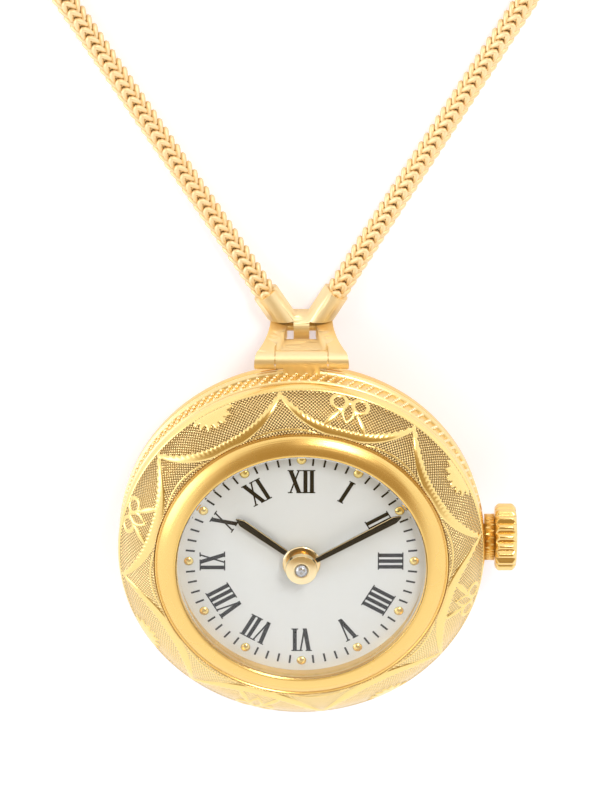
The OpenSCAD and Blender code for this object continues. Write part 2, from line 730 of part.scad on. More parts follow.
module clasp_body() {
  color("gold") on_clasp() union() {
    difference() {
      bent(clasp_mid, clasp_r, 70, 380);
      bent(clasp_mid, 0.36, 69, 184);
      bent(clasp_mid, 0.36, 366, 381);
      rotate(78) rotate_extrude(angle = 68) translate([clasp_mid, -0.22]) square([1, 0.44]);
    }
    translate([-clasp_mid - clasp_r - eye_mid + 0.05, 0, 0]) flat_ring(eye_mid, eye_wire);
  }
}

module clasp_bolt() {
  color("gold") on_clasp() union() {
    bent(clasp_mid, 0.3, 10, 122);
    rotate(84) translate([clasp_mid, 0, 0]) rotate([0, 90, 0]) cylinder(r = 0.16, h = 0.75);
    rotate(84) translate([clasp_mid + 0.7, 0, 0]) sphere(r = 0.26);
  }
}

module strand_left() strand(0);
module strand_right() strand(1);
module coil_left() coil(0);
module coil_right() coil(1);

case_back();
back_gasket();
case_middle();
case_front();
bezel();
crystal();
dial();
hour_dots();
movement_ring();
main_plate();
train_bridge();
bridge_screws();
stator();
coil_core();
coil_winding();
circuit_board();
quartz_can();
battery();
battery_clip();
crown_tube();
pendant();
minute_hand();
cannon_pinion();
centre_wheel();
hour_hand();
hour_wheel();
minute_wheel();
setting_wheel();
intermediate_wheel();
rotor();
setting_pinion();
stem();
crown();
crown_gasket();
setting_lever();
bow();
bow_pin();
chain_yoke();
strand_left();
strand_right();
coil_left();
coil_right();
end_caps();
jump_ring();
end_ring();
clasp_body();
clasp_bolt();
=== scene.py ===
# %% [markdown]
# # A pendant watch, dressed over its CAD frame
#
# The CAD model gives every solid, joint and size. This script loads it as a fixed frame and gives it the
# looks of the photographed watch: gold plate, an engraved front, a beaded band, a printed dial and a
# woven chain. Each step says what the real piece is, how it could be made and why this way was chosen.
# %% Load the frame
import math

import bmesh
import bpy
import numpy as np
from mathutils import Matrix, Vector


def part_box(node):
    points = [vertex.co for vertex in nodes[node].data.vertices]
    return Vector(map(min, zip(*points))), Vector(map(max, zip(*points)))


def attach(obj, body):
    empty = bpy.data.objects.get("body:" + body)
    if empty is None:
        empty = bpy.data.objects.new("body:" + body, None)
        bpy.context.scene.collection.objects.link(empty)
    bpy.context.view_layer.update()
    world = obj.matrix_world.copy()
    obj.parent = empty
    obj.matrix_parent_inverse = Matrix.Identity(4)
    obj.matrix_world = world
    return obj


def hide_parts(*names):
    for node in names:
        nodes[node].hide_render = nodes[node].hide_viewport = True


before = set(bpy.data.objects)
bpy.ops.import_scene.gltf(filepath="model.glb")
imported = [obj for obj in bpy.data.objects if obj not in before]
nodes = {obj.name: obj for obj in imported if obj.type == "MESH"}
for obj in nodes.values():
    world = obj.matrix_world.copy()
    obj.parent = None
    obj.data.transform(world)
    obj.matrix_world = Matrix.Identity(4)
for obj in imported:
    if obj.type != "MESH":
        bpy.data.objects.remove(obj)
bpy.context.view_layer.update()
MM = 0.001

# %% [markdown]
# ## Sizes
#
# Blender works in metres, and a watchmaker thinks in millimetres. Sizes here are in millimetres, and every
# mesh is scaled once, when it is made. Places that the CAD has settled are read off the frame's boxes, so
# that this script and the solids can't disagree.
# %% Sizes in millimetres


def span(node, axis):
    """The lowest and the highest millimetre of a CAD node along axis 0, 1 or 2."""
    low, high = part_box(node)
    return round(low[axis] / MM, 4), round(high[axis] / MM, 4)


Z_TOP = span("case_front", 2)[1]
Z_DIAL = span("dial", 2)[1]
CROWN_X = span("crown", 0)[0]
CROWN_LOW, CROWN_HIGH = span("crown", 2)
CROWN_R = (CROWN_HIGH - CROWN_LOW) / 2
Z_STEM = (CROWN_HIGH + CROWN_LOW) / 2
CHAIN_D = 1.6
print("front up to", Z_TOP, "dial at", Z_DIAL, "stem at", Z_STEM, "mm")

# %% [markdown]
# ## Camera
#
# The photograph was taken from 30 cm with a long lens, from 28 degrees off the dial's axis, on the side
# of 12 o'clock. A lens that long keeps the round case nearly free of perspective.
# %% Camera
REACH = 300.0
WATCH_MID = Vector((0.0, 0.0, 4.6))
FOCUS = Vector((-0.1, 8.07, 0.38))
TOWARDS = Vector((0.0, 0.463, 0.8864)).normalized()
START = WATCH_MID + REACH * TOWARDS
view_z = (START - FOCUS).normalized()
view_y = view_z.cross(Vector((1.0, 0.0, 0.0))).normalized()
view_x = view_y.cross(view_z)
aimed = Matrix((view_x, view_y, view_z)).transposed().to_4x4()
camera = bpy.data.objects.new("camera", bpy.data.cameras.new("camera"))
bpy.context.collection.objects.link(camera)
camera.matrix_world = Matrix.Translation(START * MM) @ aimed
camera.data.lens = 203.0
camera.data.sensor_width = 36.0
camera.data.clip_start = 0.01
camera.data.clip_end = 10.0
bpy.context.scene.camera = camera
print("camera at", [round(c) for c in START], "mm")

# %% [markdown]
# ## Small helpers
#
# Colours are written as sRGB hex values, and shaders want linear light, so one function turns them.
# Another adds a node of any kind, with its settings and what feeds it.
# %% Helpers for colours, nodes and meshes


def linear(code):
    """An sRGB hex value as linear RGBA."""
    parts = [int(code[i : i + 2], 16) / 255 for i in (0, 2, 4)]
    return [c / 12.92 if c < 0.04045 else ((c + 0.055) / 1.055) ** 2.4 for c in parts] + [1.0]


# A Mix node has sockets for numbers, vectors and colours under the same names, so those for colours go by
# number.
MIX_A, MIX_B, MIXED = 6, 7, 2


def add(tree, kind, inputs=None, **settings):
    """A new node. inputs names or numbers its sockets and gives a value, the socket that feeds it, or a
    node whose first output does."""
    node = tree.nodes.new(kind)
    for key, value in settings.items():
        setattr(node, key, value)
    for key, value in (inputs or {}).items():
        if isinstance(value, bpy.types.Node):
            value = value.outputs[0]
        if isinstance(value, bpy.types.NodeSocket):
            tree.links.new(value, node.inputs[key])
        else:
            node.inputs[key].default_value = value
    return node


def mesh_object(name, verts, faces, smooth=True):
    """An object at the origin from points in millimetres."""
    mesh = bpy.data.meshes.new(name)
    mesh.from_pydata((np.asarray(verts, float) * MM).tolist(), [], faces)
    mesh.update()
    if smooth:
        mesh.shade_smooth()
    made = bpy.data.objects.new(name, mesh)
    bpy.context.collection.objects.link(made)
    return made


def settle(piece, body, material, stands_for=()):
    """Gives a piece its finish, ties it to its body and hides the nodes that it stands for."""
    if not piece.data.materials:
        piece.data.materials.append(material)
    if stands_for:
        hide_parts(*stands_for)
    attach(piece, body)
    print(f"{piece.name}: {len(piece.data.polygons)} faces, on {body}")
    return piece


def sharpen(piece, degrees):
    """Keeps edges that turn by more than this crisp, while the rest shades smooth."""
    piece.data.shade_smooth()
    piece.data.set_sharp_from_angle(angle=math.radians(degrees))


# %% [markdown]
# ## Stage and lights
#
# A plain pale floor, in a light tent. Gold has no colour of its own in a mirror-like finish: it shows the
# studio, tinted. The tent is bright all round and dimmer only where it is open for the camera and the
# person behind it, nearly straight above the dial and leaning a little to 12 o'clock. Faces that mirror
# the opening get the warm brown depth that a plated case has, and all the others come out pale.
# %% Floor


def plain(name, colour, roughness):
    """A material with one Principled shader, as a start."""
    made = bpy.data.materials.new(name)
    made.use_nodes = True
    shader = made.node_tree.nodes["Principled BSDF"]
    shader.inputs["Base Color"].default_value = linear(colour)
    shader.inputs["Roughness"].default_value = roughness
    print("finish", name)
    return made, made.node_tree, shader


# White paper lit from below as well, so that the floor stays pale beside bright gold.
paper, _, shader = plain("backlit_pale_sweep", "EFEFEF", 0.8)
shader.inputs["Emission Color"].default_value = linear("D8DEFF")
shader.inputs["Emission Strength"].default_value = 0.36
EDGE = 600
corners = [(-EDGE, -EDGE, 0), (EDGE, -EDGE, 0), (EDGE, EDGE, 0), (-EDGE, EDGE, 0)]
floor = mesh_object("floor", corners, [(0, 1, 2, 3)])
floor.data.materials.append(paper)

# %% [markdown]
# The tent is the world's light. How far a direction lies from the opening's own is a dot product: at 32
# degrees and less it is all opening, at 43 and more all cloth.
# %% Tent
OPENING = (0.1, 0.25, 0.963)
COS_CLOTH, COS_OPEN = 0.73, 0.85
CLOTH_GLOW, OPEN_GLOW = 1.2, 0.44
world = bpy.data.worlds.new("studio")
world.use_nodes = True
bpy.context.scene.world = world
tent = world.node_tree
sky = tent.nodes["Background"]
ray = add(tent, "ShaderNodeTexCoord").outputs["Generated"]
aim = add(tent, "ShaderNodeVectorMath", {0: ray, 1: OPENING}, operation="DOT_PRODUCT").outputs["Value"]
opening = add(tent, "ShaderNodeMapRange", {"Value": aim, "From Min": COS_CLOTH, "From Max": COS_OPEN},
              interpolation_type="SMOOTHSTEP")
cloth = add(tent, "ShaderNodeMix", {0: opening, MIX_A: linear("FCFDFF"), MIX_B: linear("FFDA94")},
            data_type="RGBA")
glow = add(tent, "ShaderNodeMapRange", {"Value": opening, "To Min": CLOTH_GLOW, "To Max": OPEN_GLOW})
tent.links.new(cloth.outputs[MIXED], sky.inputs["Color"])
tent.links.new(glow.outputs[0], sky.inputs["Strength"])
print("tent opens towards", OPENING)

# %% Soft boxes
LAMP_AIM = Vector((0, 0, 5))


def soft_box(name, at, side, power):
    """A square area light that faces the watch. Its place and side are in millimetres."""
    lamp = bpy.data.lights.new(name, "AREA")
    lamp.shape = "SQUARE"
    lamp.size = side * MM
    lamp.energy = power
    holder = bpy.data.objects.new(name, lamp)
    bpy.context.collection.objects.link(holder)
    holder.location = Vector(at) * MM
    holder.rotation_euler = (LAMP_AIM * MM - holder.location).to_track_quat("-Z", "Y").to_euler()
    print(name, "of", side, "mm")


soft_box("left_box", (-420, 60, 200), 260, 0.45)
soft_box("key_box", (135, 280, 325), 120, 0.6)
# Standard shows the lit colours as they are, without a film curve.
bpy.context.scene.view_settings.view_transform = "Standard"

# %% [markdown]
# ## Finishes
#
# Nearly all that shows is brass with a thin plate of yellow gold. Plate keeps the texture of the metal
# under it, so one function makes the gold, and each use says how that part was worked: turned pieces
# have fine rings round the axis, pressed ones a soft orange-peel, and drawn wire is matt and even.
#
# A noise texture counts its grains to a metre, so 9 / MM is nine to a millimetre. Real turning marks are
# finer, but nine to a millimetre is the finest that the render can show.
# %% Gold plate
GOLD, GOLD_DEEP = "F3CE80", "E9BA66"
PALE, PALE_DEEP = "F8E2B2", "F0D094"
CLOUDS, PEEL, TURNING_MARKS = 0.26 / MM, 2.5 / MM, 9 / MM
CLOUD_SHARE = 0.35
BUMP_DEPTH = 0.01 * MM


def gold_plate(name, roughness, grain=0.0, rings=0.0, tones=(GOLD, GOLD_DEEP)):
    """Gold plate. grain is the strength of a soft pressed texture, rings that of turning marks."""
    made, tree, shader = plain(name, tones[0], roughness)
    shader.inputs["Metallic"].default_value = 1.0
    place = add(tree, "ShaderNodeTexCoord").outputs["Object"]
    cloud = add(tree, "ShaderNodeTexNoise", {"Vector": place, "Scale": CLOUDS, "Detail": 4.0})
    pale, deep = linear(tones[0]), linear(tones[1])
    blend = add(tree, "ShaderNodeMix", {0: cloud, MIX_A: pale, MIX_B: deep}, data_type="RGBA")
    soften = add(tree, "ShaderNodeMix", {0: CLOUD_SHARE, MIX_A: pale, MIX_B: blend.outputs[MIXED]},
                 data_type="RGBA")
    tree.links.new(soften.outputs[MIXED], shader.inputs["Base Color"])
    haze = add(tree, "ShaderNodeMapRange",
               {"Value": cloud, "To Min": roughness * 0.75, "To Max": roughness * 1.35})
    tree.links.new(haze.outputs[0], shader.inputs["Roughness"])
    if rings:
        split = add(tree, "ShaderNodeSeparateXYZ", {0: place})
        flat = add(tree, "ShaderNodeCombineXYZ", {0: split.outputs[0], 1: split.outputs[1]})
        radius = add(tree, "ShaderNodeVectorMath", {0: flat}, operation="LENGTH").outputs["Value"]
        along = add(tree, "ShaderNodeCombineXYZ", {0: radius, 1: split.outputs[2]})
        marks = add(tree, "ShaderNodeTexNoise", {"Vector": along, "Scale": TURNING_MARKS, "Detail": 2.0})
    elif grain:
        marks = add(tree, "ShaderNodeTexNoise", {"Vector": place, "Scale": PEEL, "Detail": 3.0})
    if rings or grain:
        bump = add(tree, "ShaderNodeBump",
                   {"Height": marks, "Strength": rings or grain, "Distance": BUMP_DEPTH})
        tree.links.new(bump.outputs[0], shader.inputs["Normal"])
    return made


# The rings draw the highlights of a turned face out round its axis.
turned_gold = gold_plate("turned_gold_plate", 0.16, rings=0.35)
# Satin has deeper rings and a softer mirror image.
satin_gold = gold_plate("satin_gold_plate", 0.25, rings=0.6)
# Rolled metal is paler and duller than turned.
band_gold = gold_plate("rolled_gold_plate", 0.3, rings=0.3, tones=("F7DB9C", "EDC880"))
# Pressed and plated without polish: a pale glow that mirrors nothing sharply.
pressed_gold = gold_plate("pale_matt_gold_plate", 0.42, grain=0.4, tones=(PALE, PALE_DEEP))
# Burnished by hand: small bright highlights on edges, wire and beads.
burnished_gold = gold_plate("burnished_gold_plate", 0.2, tones=(PALE, PALE_DEEP))
# Drawn wire, pale and matt, so that the weave shows by its shadows more than by its highlights.
woven_gold = gold_plate("pale_drawn_gold_wire", 0.55, tones=("FCE5B8", "F6D49A"))

# %% [markdown]
# ## The chain
#
# The watch hangs on a fine foxtail chain. Each link is a ring of wire, folded in half so that its two
# loops stand up, and each new link goes through the loops of the last two, turned by a quarter. From
# the side the chain shows rows of small Vs. Some 760 equal links to a strand are work for Geometry
# Nodes: one folded link, instanced on points along the route.
#
# The route repeats the CAD's: straight out of the yoke and down to the table, on in a line, then
# inwards round a flat coil, up by one layer, outwards again on top of it, and down to the end.
# %% The chain's route
BOW_PIN_Y, BOW_L, BOW_DROP = 12.8, 3.35, 73
MEET_BACK = 1.38
MEET_Y = BOW_PIN_Y + BOW_L * math.cos(math.radians(BOW_DROP)) - MEET_BACK
STRAND_DIR = (121.85, 59.4)
RUNS = (4.45, 5.9, 9, 12, 15.5, 19, 22.5, 26, 29.5, 33, 36.4, 38.5)
DROPS = (1, 1, 0.35) + (0,) * 9
SOCKET_Z, FLOOR_Z, SOCKET_DEEP = 0.95, 0.82, 0.5
COIL_R, COIL_PITCH = 10.4, 2.02
COIL_TURNS = (4.31, 4.14)
POINTS_A_TURN = 72
RUN_FROM, RUN_LIFT, RUN_OUT, RUN_POINTS = 0.6, 2.2, 9.0, 17


def ease(t):
    """A soft rise from 0 to 1 while t goes from 0 to 1."""
    return 0.5 - 0.5 * math.cos(math.pi * min(max(t, 0.0), 1.0))


def on_line(side, t, z):
    """A point on a strand's straight line, t millimetres from where the two lines meet."""
    a = math.radians(STRAND_DIR[side])
    return (t * math.cos(a), MEET_Y + t * math.sin(a), z)


def route(side):
    """The chain's centreline from the yoke to its end cap, in millimetres."""
    turn = (-1, 1)[side]
    heading, count = STRAND_DIR[side], COIL_TURNS[side]
    line = [on_line(side, t, FLOOR_Z + (SOCKET_Z - FLOOR_Z) * drop) for t, drop in zip(RUNS, DROPS)]
    start = on_line(side, RUNS[-1] + CHAIN_D, 0)
    to_centre = math.radians(heading + 90 * turn)
    cx, cy = start[0] + COIL_R * math.cos(to_centre), start[1] + COIL_R * math.sin(to_centre)
    for u in np.linspace(0, count, round(count * POINTS_A_TURN) + 1):
        r = COIL_R - COIL_PITCH * (count / 2 - abs(u - count / 2))
        a = math.radians(heading - 90 * turn + turn * 360 * u)
        rise = COIL_PITCH * ease((u - count / 2) * 2 + 0.5)
        line.append((cx + r * math.cos(a), cy + r * math.sin(a), FLOOR_Z + rise))
    for q in np.linspace(RUN_FROM, RUN_OUT + CHAIN_D, RUN_POINTS):
        x = cx + COIL_R * math.cos(a) - turn * q * math.sin(a)
        y = cy + COIL_R * math.sin(a) + turn * q * math.cos(a)
        rise = COIL_PITCH * (1 - ease((q - RUN_LIFT) / (RUN_OUT - RUN_LIFT)))
        line.append((x, y, FLOOR_Z + rise))
    return line


def length_of(line):
    """The length of a line of points."""
    return float(np.linalg.norm(np.diff(np.array(line), axis=0), axis=1).sum())


routes = [route(0), route(1)]
print("chain strands:", [round(length_of(line), 1) for line in routes], "mm")

# %% [markdown]
# A tree gets its sizes as named inputs. It runs as a modifier on a start object, and the mesh that it
# makes is kept as a plain one.
# %% Geometry Nodes trees with named inputs


def new_tree(name, sizes):
    """An empty tree that takes a geometry and these sizes, with its input and output nodes."""
    tree = bpy.data.node_groups.new(name, "GeometryNodeTree")
    tree.interface.new_socket("Geometry", in_out="INPUT", socket_type="NodeSocketGeometry")
    tree.interface.new_socket("Geometry", in_out="OUTPUT", socket_type="NodeSocketGeometry")
    for label, value in sizes.items():
        kind = "NodeSocketInt" if isinstance(value, int) else "NodeSocketFloat"
        tree.interface.new_socket(label, in_out="INPUT", socket_type=kind).default_value = value
    return tree, add(tree, "NodeGroupInput").outputs, add(tree, "NodeGroupOutput")


def close_tree(tree, instances, material, result, smooth=True):
    """Ends a tree: its instances become a real mesh with a finish, because the export drops instances."""
    last = add(tree, "GeometryNodeRealizeInstances", {"Geometry": instances})
    if smooth:
        last = add(tree, "GeometryNodeSetShadeSmooth", {"Geometry": last})
    last = add(tree, "GeometryNodeSetMaterial", {"Geometry": last, "Material": material})
    tree.links.new(last.outputs[0], result.inputs[0])


def grow(name, tree, start):
    """Runs a tree on a start object and keeps the plain mesh that it makes."""
    modifier = start.modifiers.new("grow", "NODES")
    modifier.node_group = tree
    seen = start.evaluated_get(bpy.context.evaluated_depsgraph_get())
    mesh = bpy.data.meshes.new_from_object(seen)
    mesh.name = name
    start.modifiers.remove(modifier)
    bpy.data.objects.remove(start)
    made = bpy.data.objects.new(name, mesh)
    bpy.context.collection.objects.link(made)
    return made


# %% [markdown]
# A link starts as a flat ring. Its x is blunted, so that the two ends are broad loops, and its height
# follows x, so that both ends stand up. Every second link is turned by a quarter.
# %% The folded link, repeated along the route
LINK = {"Step": 0.35, "Half width": 0.61, "Half loop": 0.29, "Fold": 0.8, "Wire": 0.185}
RING_POINTS, WIRE_SIDES = 16, 6
BLUNT, ARCH, ARCH_FOOT = 0.6, 1.4, 0.5

link_tree, given, result = new_tree("foxtail_links", {key: value * MM for key, value in LINK.items()})
ring = add(link_tree, "GeometryNodeCurvePrimitiveCircle", {"Resolution": RING_POINTS, "Radius": 1.0})
where = add(link_tree, "ShaderNodeSeparateXYZ", {0: add(link_tree, "GeometryNodeInputPosition")})
away = add(link_tree, "ShaderNodeMath", {0: where.outputs[0]}, operation="ABSOLUTE")
sign = add(link_tree, "ShaderNodeMath", {0: where.outputs[0]}, operation="SIGN")
blunt = add(link_tree, "ShaderNodeMath", {0: away, 1: BLUNT}, operation="POWER")
blunt = add(link_tree, "ShaderNodeMath", {0: blunt, 1: sign}, operation="MULTIPLY")
across = add(link_tree, "ShaderNodeMath", {0: blunt, 1: given["Half width"]}, operation="MULTIPLY")
beside = add(link_tree, "ShaderNodeMath", {0: where.outputs[1], 1: given["Half loop"]}, operation="MULTIPLY")
arch = add(link_tree, "ShaderNodeMath", {0: away, 1: ARCH}, operation="POWER")
rise = add(link_tree, "ShaderNodeMath", {0: arch, 1: ARCH_FOOT}, operation="SUBTRACT")
rise = add(link_tree, "ShaderNodeMath", {0: rise, 1: given["Fold"]}, operation="MULTIPLY")
spot = add(link_tree, "ShaderNodeCombineXYZ", {0: across, 1: beside, 2: rise})
folded = add(link_tree, "GeometryNodeSetPosition", {"Geometry": ring, "Position": spot})
wire = add(link_tree, "GeometryNodeCurvePrimitiveCircle", {"Resolution": WIRE_SIDES, "Radius": given["Wire"]})
link = add(link_tree, "GeometryNodeCurveToMesh", {"Curve": folded, "Profile Curve": wire})

spots = add(link_tree, "GeometryNodeCurveToPoints", {"Curve": given["Geometry"], "Length": given["Step"]},
            mode="LENGTH")
index = add(link_tree, "GeometryNodeInputIndex")
odd = add(link_tree, "ShaderNodeMath", {0: index, 1: 2.0}, operation="MODULO")
quarter = add(link_tree, "ShaderNodeMath", {0: odd, 1: math.pi / 2}, operation="MULTIPLY")
twist = add(link_tree, "ShaderNodeCombineXYZ", {2: quarter})
facing = add(link_tree, "FunctionNodeRotateRotation",
             {"Rotation": spots.outputs["Rotation"], "Rotate By": twist}, rotation_space="LOCAL")
chain = add(link_tree, "GeometryNodeInstanceOnPoints",
            {"Points": spots.outputs["Points"], "Instance": link, "Rotation": facing})
close_tree(link_tree, chain, woven_gold, result)
print("a link every", LINK["Step"], "mm")

# %% Two strands


def curve_object(name, line):
    """A curve of straight stretches through points in millimetres."""
    data = bpy.data.curves.new(name, "CURVE")
    data.dimensions = "3D"
    data.twist_mode = "Z_UP"
    spline = data.splines.new("POLY")
    spline.points.add(len(line) - 1)
    for point, (x, y, z) in zip(spline.points, line):
        point.co = (x * MM, y * MM, z * MM, 1.0)
    made = bpy.data.objects.new(name, data)
    bpy.context.collection.objects.link(made)
    return made


def chain_strand(side, name):
    """One strand, which starts a little inside its socket in the yoke."""
    hidden_start = on_line(side, RUNS[0] - SOCKET_DEEP, SOCKET_Z)
    return grow(name, link_tree, curve_object(name + "_line", [hidden_start] + routes[side]))


strands = [chain_strand(0, "chain_left"), chain_strand(1, "chain_right")]
print("links:", [len(strand.data.polygons) // (RING_POINTS * WIRE_SIDES) for strand in strands])

# %% [markdown]
# ## Turned pieces
#
# The back, band, bezel and crystal are bodies of revolution, turned on a lathe or pressed and then
# turned. A profile spun about the watch's axis in mesh code gives them as shells with as many steps as
# a mirror finish needs.
# %% A lathe
ON_AXIS, CRISP = 1e-6, 32


def arc(p, q, bulge, n):
    """Points of an arc from p to q that bulges to its left."""
    p, q = np.array(p, float), np.array(q, float)
    chord = np.linalg.norm(q - p)
    radius = (chord**2 / 4 + bulge**2) / (2 * abs(bulge))
    u = (q - p) / chord
    w = np.array([-u[1], u[0]]) * np.sign(bulge)
    centre = (p + q) / 2 - w * (radius - abs(bulge))
    half = math.asin(chord / 2 / radius)
    turns = np.linspace(-half, half, n + 1)
    return [tuple(centre + radius * (w * math.cos(t) + u * math.sin(t))) for t in turns]


def spin(profile, steps=256, closed=False):
    """Spins a profile of (radius, height) about Z. Where it touches the axis, quads become triangles."""
    angles = np.linspace(0, 2 * math.pi, steps, endpoint=False)
    verts, rings = [], []
    for radius, height in profile:
        if radius < ON_AXIS:
            rings.append([len(verts)] * steps)
            verts.append((0.0, 0.0, height))
        else:
            rings.append(list(range(len(verts), len(verts) + steps)))
            verts += [(radius * math.cos(a), radius * math.sin(a), height) for a in angles]
    faces = []
    pairs = list(zip(rings, rings[1:])) + ([(rings[-1], rings[0])] if closed else [])
    for low, high in pairs:
        for i in range(steps):
            j = (i + 1) % steps
            faces.append(tuple(dict.fromkeys((low[i], low[j], high[j], high[i]))))
    return verts, [face for face in faces if len(face) > 2]


def turned_piece(name, profile, closed=False, degrees=CRISP, steps=256):
    """A spun object whose edges stay crisp where they turn by more than these degrees."""
    made = mesh_object(name, *spin(profile, steps, closed))
    sharpen(made, degrees)
    return made


# %% [markdown]
# ## Case back
#
# The back is a pressed cup that snaps on. It has a flat to lie on, a round shoulder, a groove for the
# gasket and a ring inside that bears the movement. It is spun in one go. The small notch in its edge,
# where the case knife goes in, is then pushed into the finished shell.
# %% Case back
outside = [(0, 0), (7.2, 0.0), (7.5, 0.02)] + arc((7.6, 0.04), (11.85, 2.75), -0.55, 24)
outside += [(11.93, 2.95), (12.0, 3.2), (12.0, 3.37), (12.0, 3.38), (12.0, 3.56), (11.94, 3.64)]
groove = [(11.5, 3.64), (11.5, 3.45), (11.1, 3.45), (11.1, 3.64)]
cup = arc((10.5, 2.95), (7.2, 0.6), 0.55, 16)
RING_OUT, RING_IN, RING_Z = 8.25, 7.8, 2.88
on_cup = [(r, float(np.interp(r, *zip(*reversed(cup))))) for r in (RING_OUT, RING_IN)]
inside = [(10.85, 3.64), (10.85, 4.02), (10.5, 4.05)] + [p for p in cup if p[0] > RING_OUT]
inside += [on_cup[0], (RING_OUT, RING_Z), (RING_IN, RING_Z), on_cup[1]]
inside += [p for p in cup if p[0] < RING_IN] + [(0, 0.6)]
back = turned_piece("back_shell", outside + groove + inside)

NOTCH_AT, NOTCH_HALF = math.radians(-60), math.radians(5.7)
NOTCH_FROM, NOTCH_TO, NOTCH_FOOT = 11.9, 11.6, 3.375
for vert in back.data.vertices:
    reach, off = vert.co.xy.length / MM, math.atan2(vert.co.y, vert.co.x) - NOTCH_AT
    if abs(off) < NOTCH_HALF and reach > NOTCH_FROM and vert.co.z > NOTCH_FOOT * MM:
        vert.co.xy *= NOTCH_TO / math.cos(off) / reach
sharpen(back, CRISP)
settle(back, "case", turned_gold, ["case_back"])

# %% [markdown]
# ## Beaded band
#
# Round the middle runs a knurled band: a wheel with small cups was rolled round the case and left
# slanted columns of four beads between two plain strips. The beads repeat nearly five hundred times and
# follow a rule, so a tree places one small ball by column and row.
# %% Band
band_profile = [(10.9, 3.66), (11.9, 3.66), (12.0, 3.72), (12.08, 3.9), (12.1, 4.05), (12.03, 4.12),
                (12.03, 4.2), (12.11, 4.26), (12.12, 4.36), (12.06, 4.42), (11.94, 4.46), (11.94, 5.7),
                (12.06, 5.74), (12.11, 5.78), (12.08, 5.84), (12.0, 5.89), (10.9, 5.89)]
band = turned_piece("band_body", band_profile, closed=True)
settle(band, "case", band_gold, ["case_middle"])

# %% Beads
bead_tree, given, result = new_tree("rolled_beads", {
    "Columns": 118, "Rows": 4, "Radius": 12.01 * MM, "Bead": 0.13 * MM, "Base": 4.6 * MM,
    "Row step": 0.325 * MM, "Slant": 0.0133})
count = add(bead_tree, "ShaderNodeMath", {0: given["Columns"], 1: given["Rows"]}, operation="MULTIPLY")
dots = add(bead_tree, "GeometryNodePoints", {"Count": count})
index = add(bead_tree, "GeometryNodeInputIndex")
row = add(bead_tree, "ShaderNodeMath", {0: index, 1: given["Rows"]}, operation="MODULO")
column = add(bead_tree, "ShaderNodeMath", {0: index, 1: given["Rows"]}, operation="DIVIDE")
column = add(bead_tree, "ShaderNodeMath", {0: column}, operation="FLOOR")
angle = add(bead_tree, "ShaderNodeMath", {0: column, 1: 2 * math.pi}, operation="MULTIPLY")
angle = add(bead_tree, "ShaderNodeMath", {0: angle, 1: given["Columns"]}, operation="DIVIDE")
lean = add(bead_tree, "ShaderNodeMath", {0: row, 1: given["Slant"]}, operation="MULTIPLY")
angle = add(bead_tree, "ShaderNodeMath", {0: angle, 1: lean}, operation="ADD")
climb = add(bead_tree, "ShaderNodeMath", {0: row, 1: given["Row step"]}, operation="MULTIPLY")
height = add(bead_tree, "ShaderNodeMath", {0: given["Base"], 1: climb}, operation="ADD")
cosine = add(bead_tree, "ShaderNodeMath", {0: angle}, operation="COSINE")
sine = add(bead_tree, "ShaderNodeMath", {0: angle}, operation="SINE")
x = add(bead_tree, "ShaderNodeMath", {0: cosine, 1: given["Radius"]}, operation="MULTIPLY")
y = add(bead_tree, "ShaderNodeMath", {0: sine, 1: given["Radius"]}, operation="MULTIPLY")
spot = add(bead_tree, "ShaderNodeCombineXYZ", {0: x, 1: y, 2: height})
placed = add(bead_tree, "GeometryNodeSetPosition", {"Geometry": dots, "Position": spot})
ball = add(bead_tree, "GeometryNodeMeshUVSphere", {"Segments": 10, "Rings": 7, "Radius": given["Bead"]})
beads = add(bead_tree, "GeometryNodeInstanceOnPoints", {"Points": placed, "Instance": ball})
close_tree(bead_tree, beads, burnished_gold, result)
beads = grow("band_beads", bead_tree, mesh_object("seed", [(0, 0, 0)], []))
settle(beads, "case", burnished_gold)

# %% [markdown]
# ## Engraved front
#
# The bulging front carries the decoration: eight hanging ribbons between the rim and the bezel, with a
# leaf or a flower in each bay, bright on a ground that was cut with fine crossed lines. A displacement
# texture would leave the outline smooth, so the relief goes into the mesh itself: a fine grid over the
# front, lifted where a distance to the pattern says so. The same distances are kept as an attribute, so
# that the material polishes the high parts and cuts its crossed lines only into the ground.
#
# The motifs are drawn in a bay's own millimetres: u runs along the rim from the bay's middle, and v from
# the rim up to the bezel.
# %% Distances to strokes and motifs
BAYS = 8
FIRST_CUSP = -6.8
MEAN_R = 11.0
BAY_W = 2 * math.pi * MEAN_R / BAYS
LOBES = 7


def step_down(distance, soft):
    """1 where distance is well below 0, falling to 0 over the width soft."""
    return np.clip(0.5 - distance / soft, 0, 1)


def to_segment(u, v, p, q):
    """Distance to the stretch from p to q, and how far along it, 0 to 1."""
    du, dv = q[0] - p[0], q[1] - p[1]
    t = np.clip(((u - p[0]) * du + (v - p[1]) * dv) / (du * du + dv * dv), 0, 1)
    return np.hypot(u - p[0] - t * du, v - p[1] - t * dv), t


def petal(u, v, root, tip, width):
    """Distance outside a pointed petal from root to tip."""
    near, t = to_segment(u, v, root, tip)
    return near - width * np.sin(np.pi * np.clip(t, 0.02, 0.98)) ** 0.8


def leaf(u, v):
    """A solid leaf that hangs from the rim, with a toothed edge of seven lobes."""
    around = np.arctan2(u, v + 0.05) / math.pi * LOBES
    lobe = np.abs(around - np.round(around)) * 2
    teeth = np.abs(around * 4 - np.round(around * 4))
    return np.hypot(u, v * 1.08) - 1.42 + 0.42 * lobe**1.3 + 0.1 * teeth


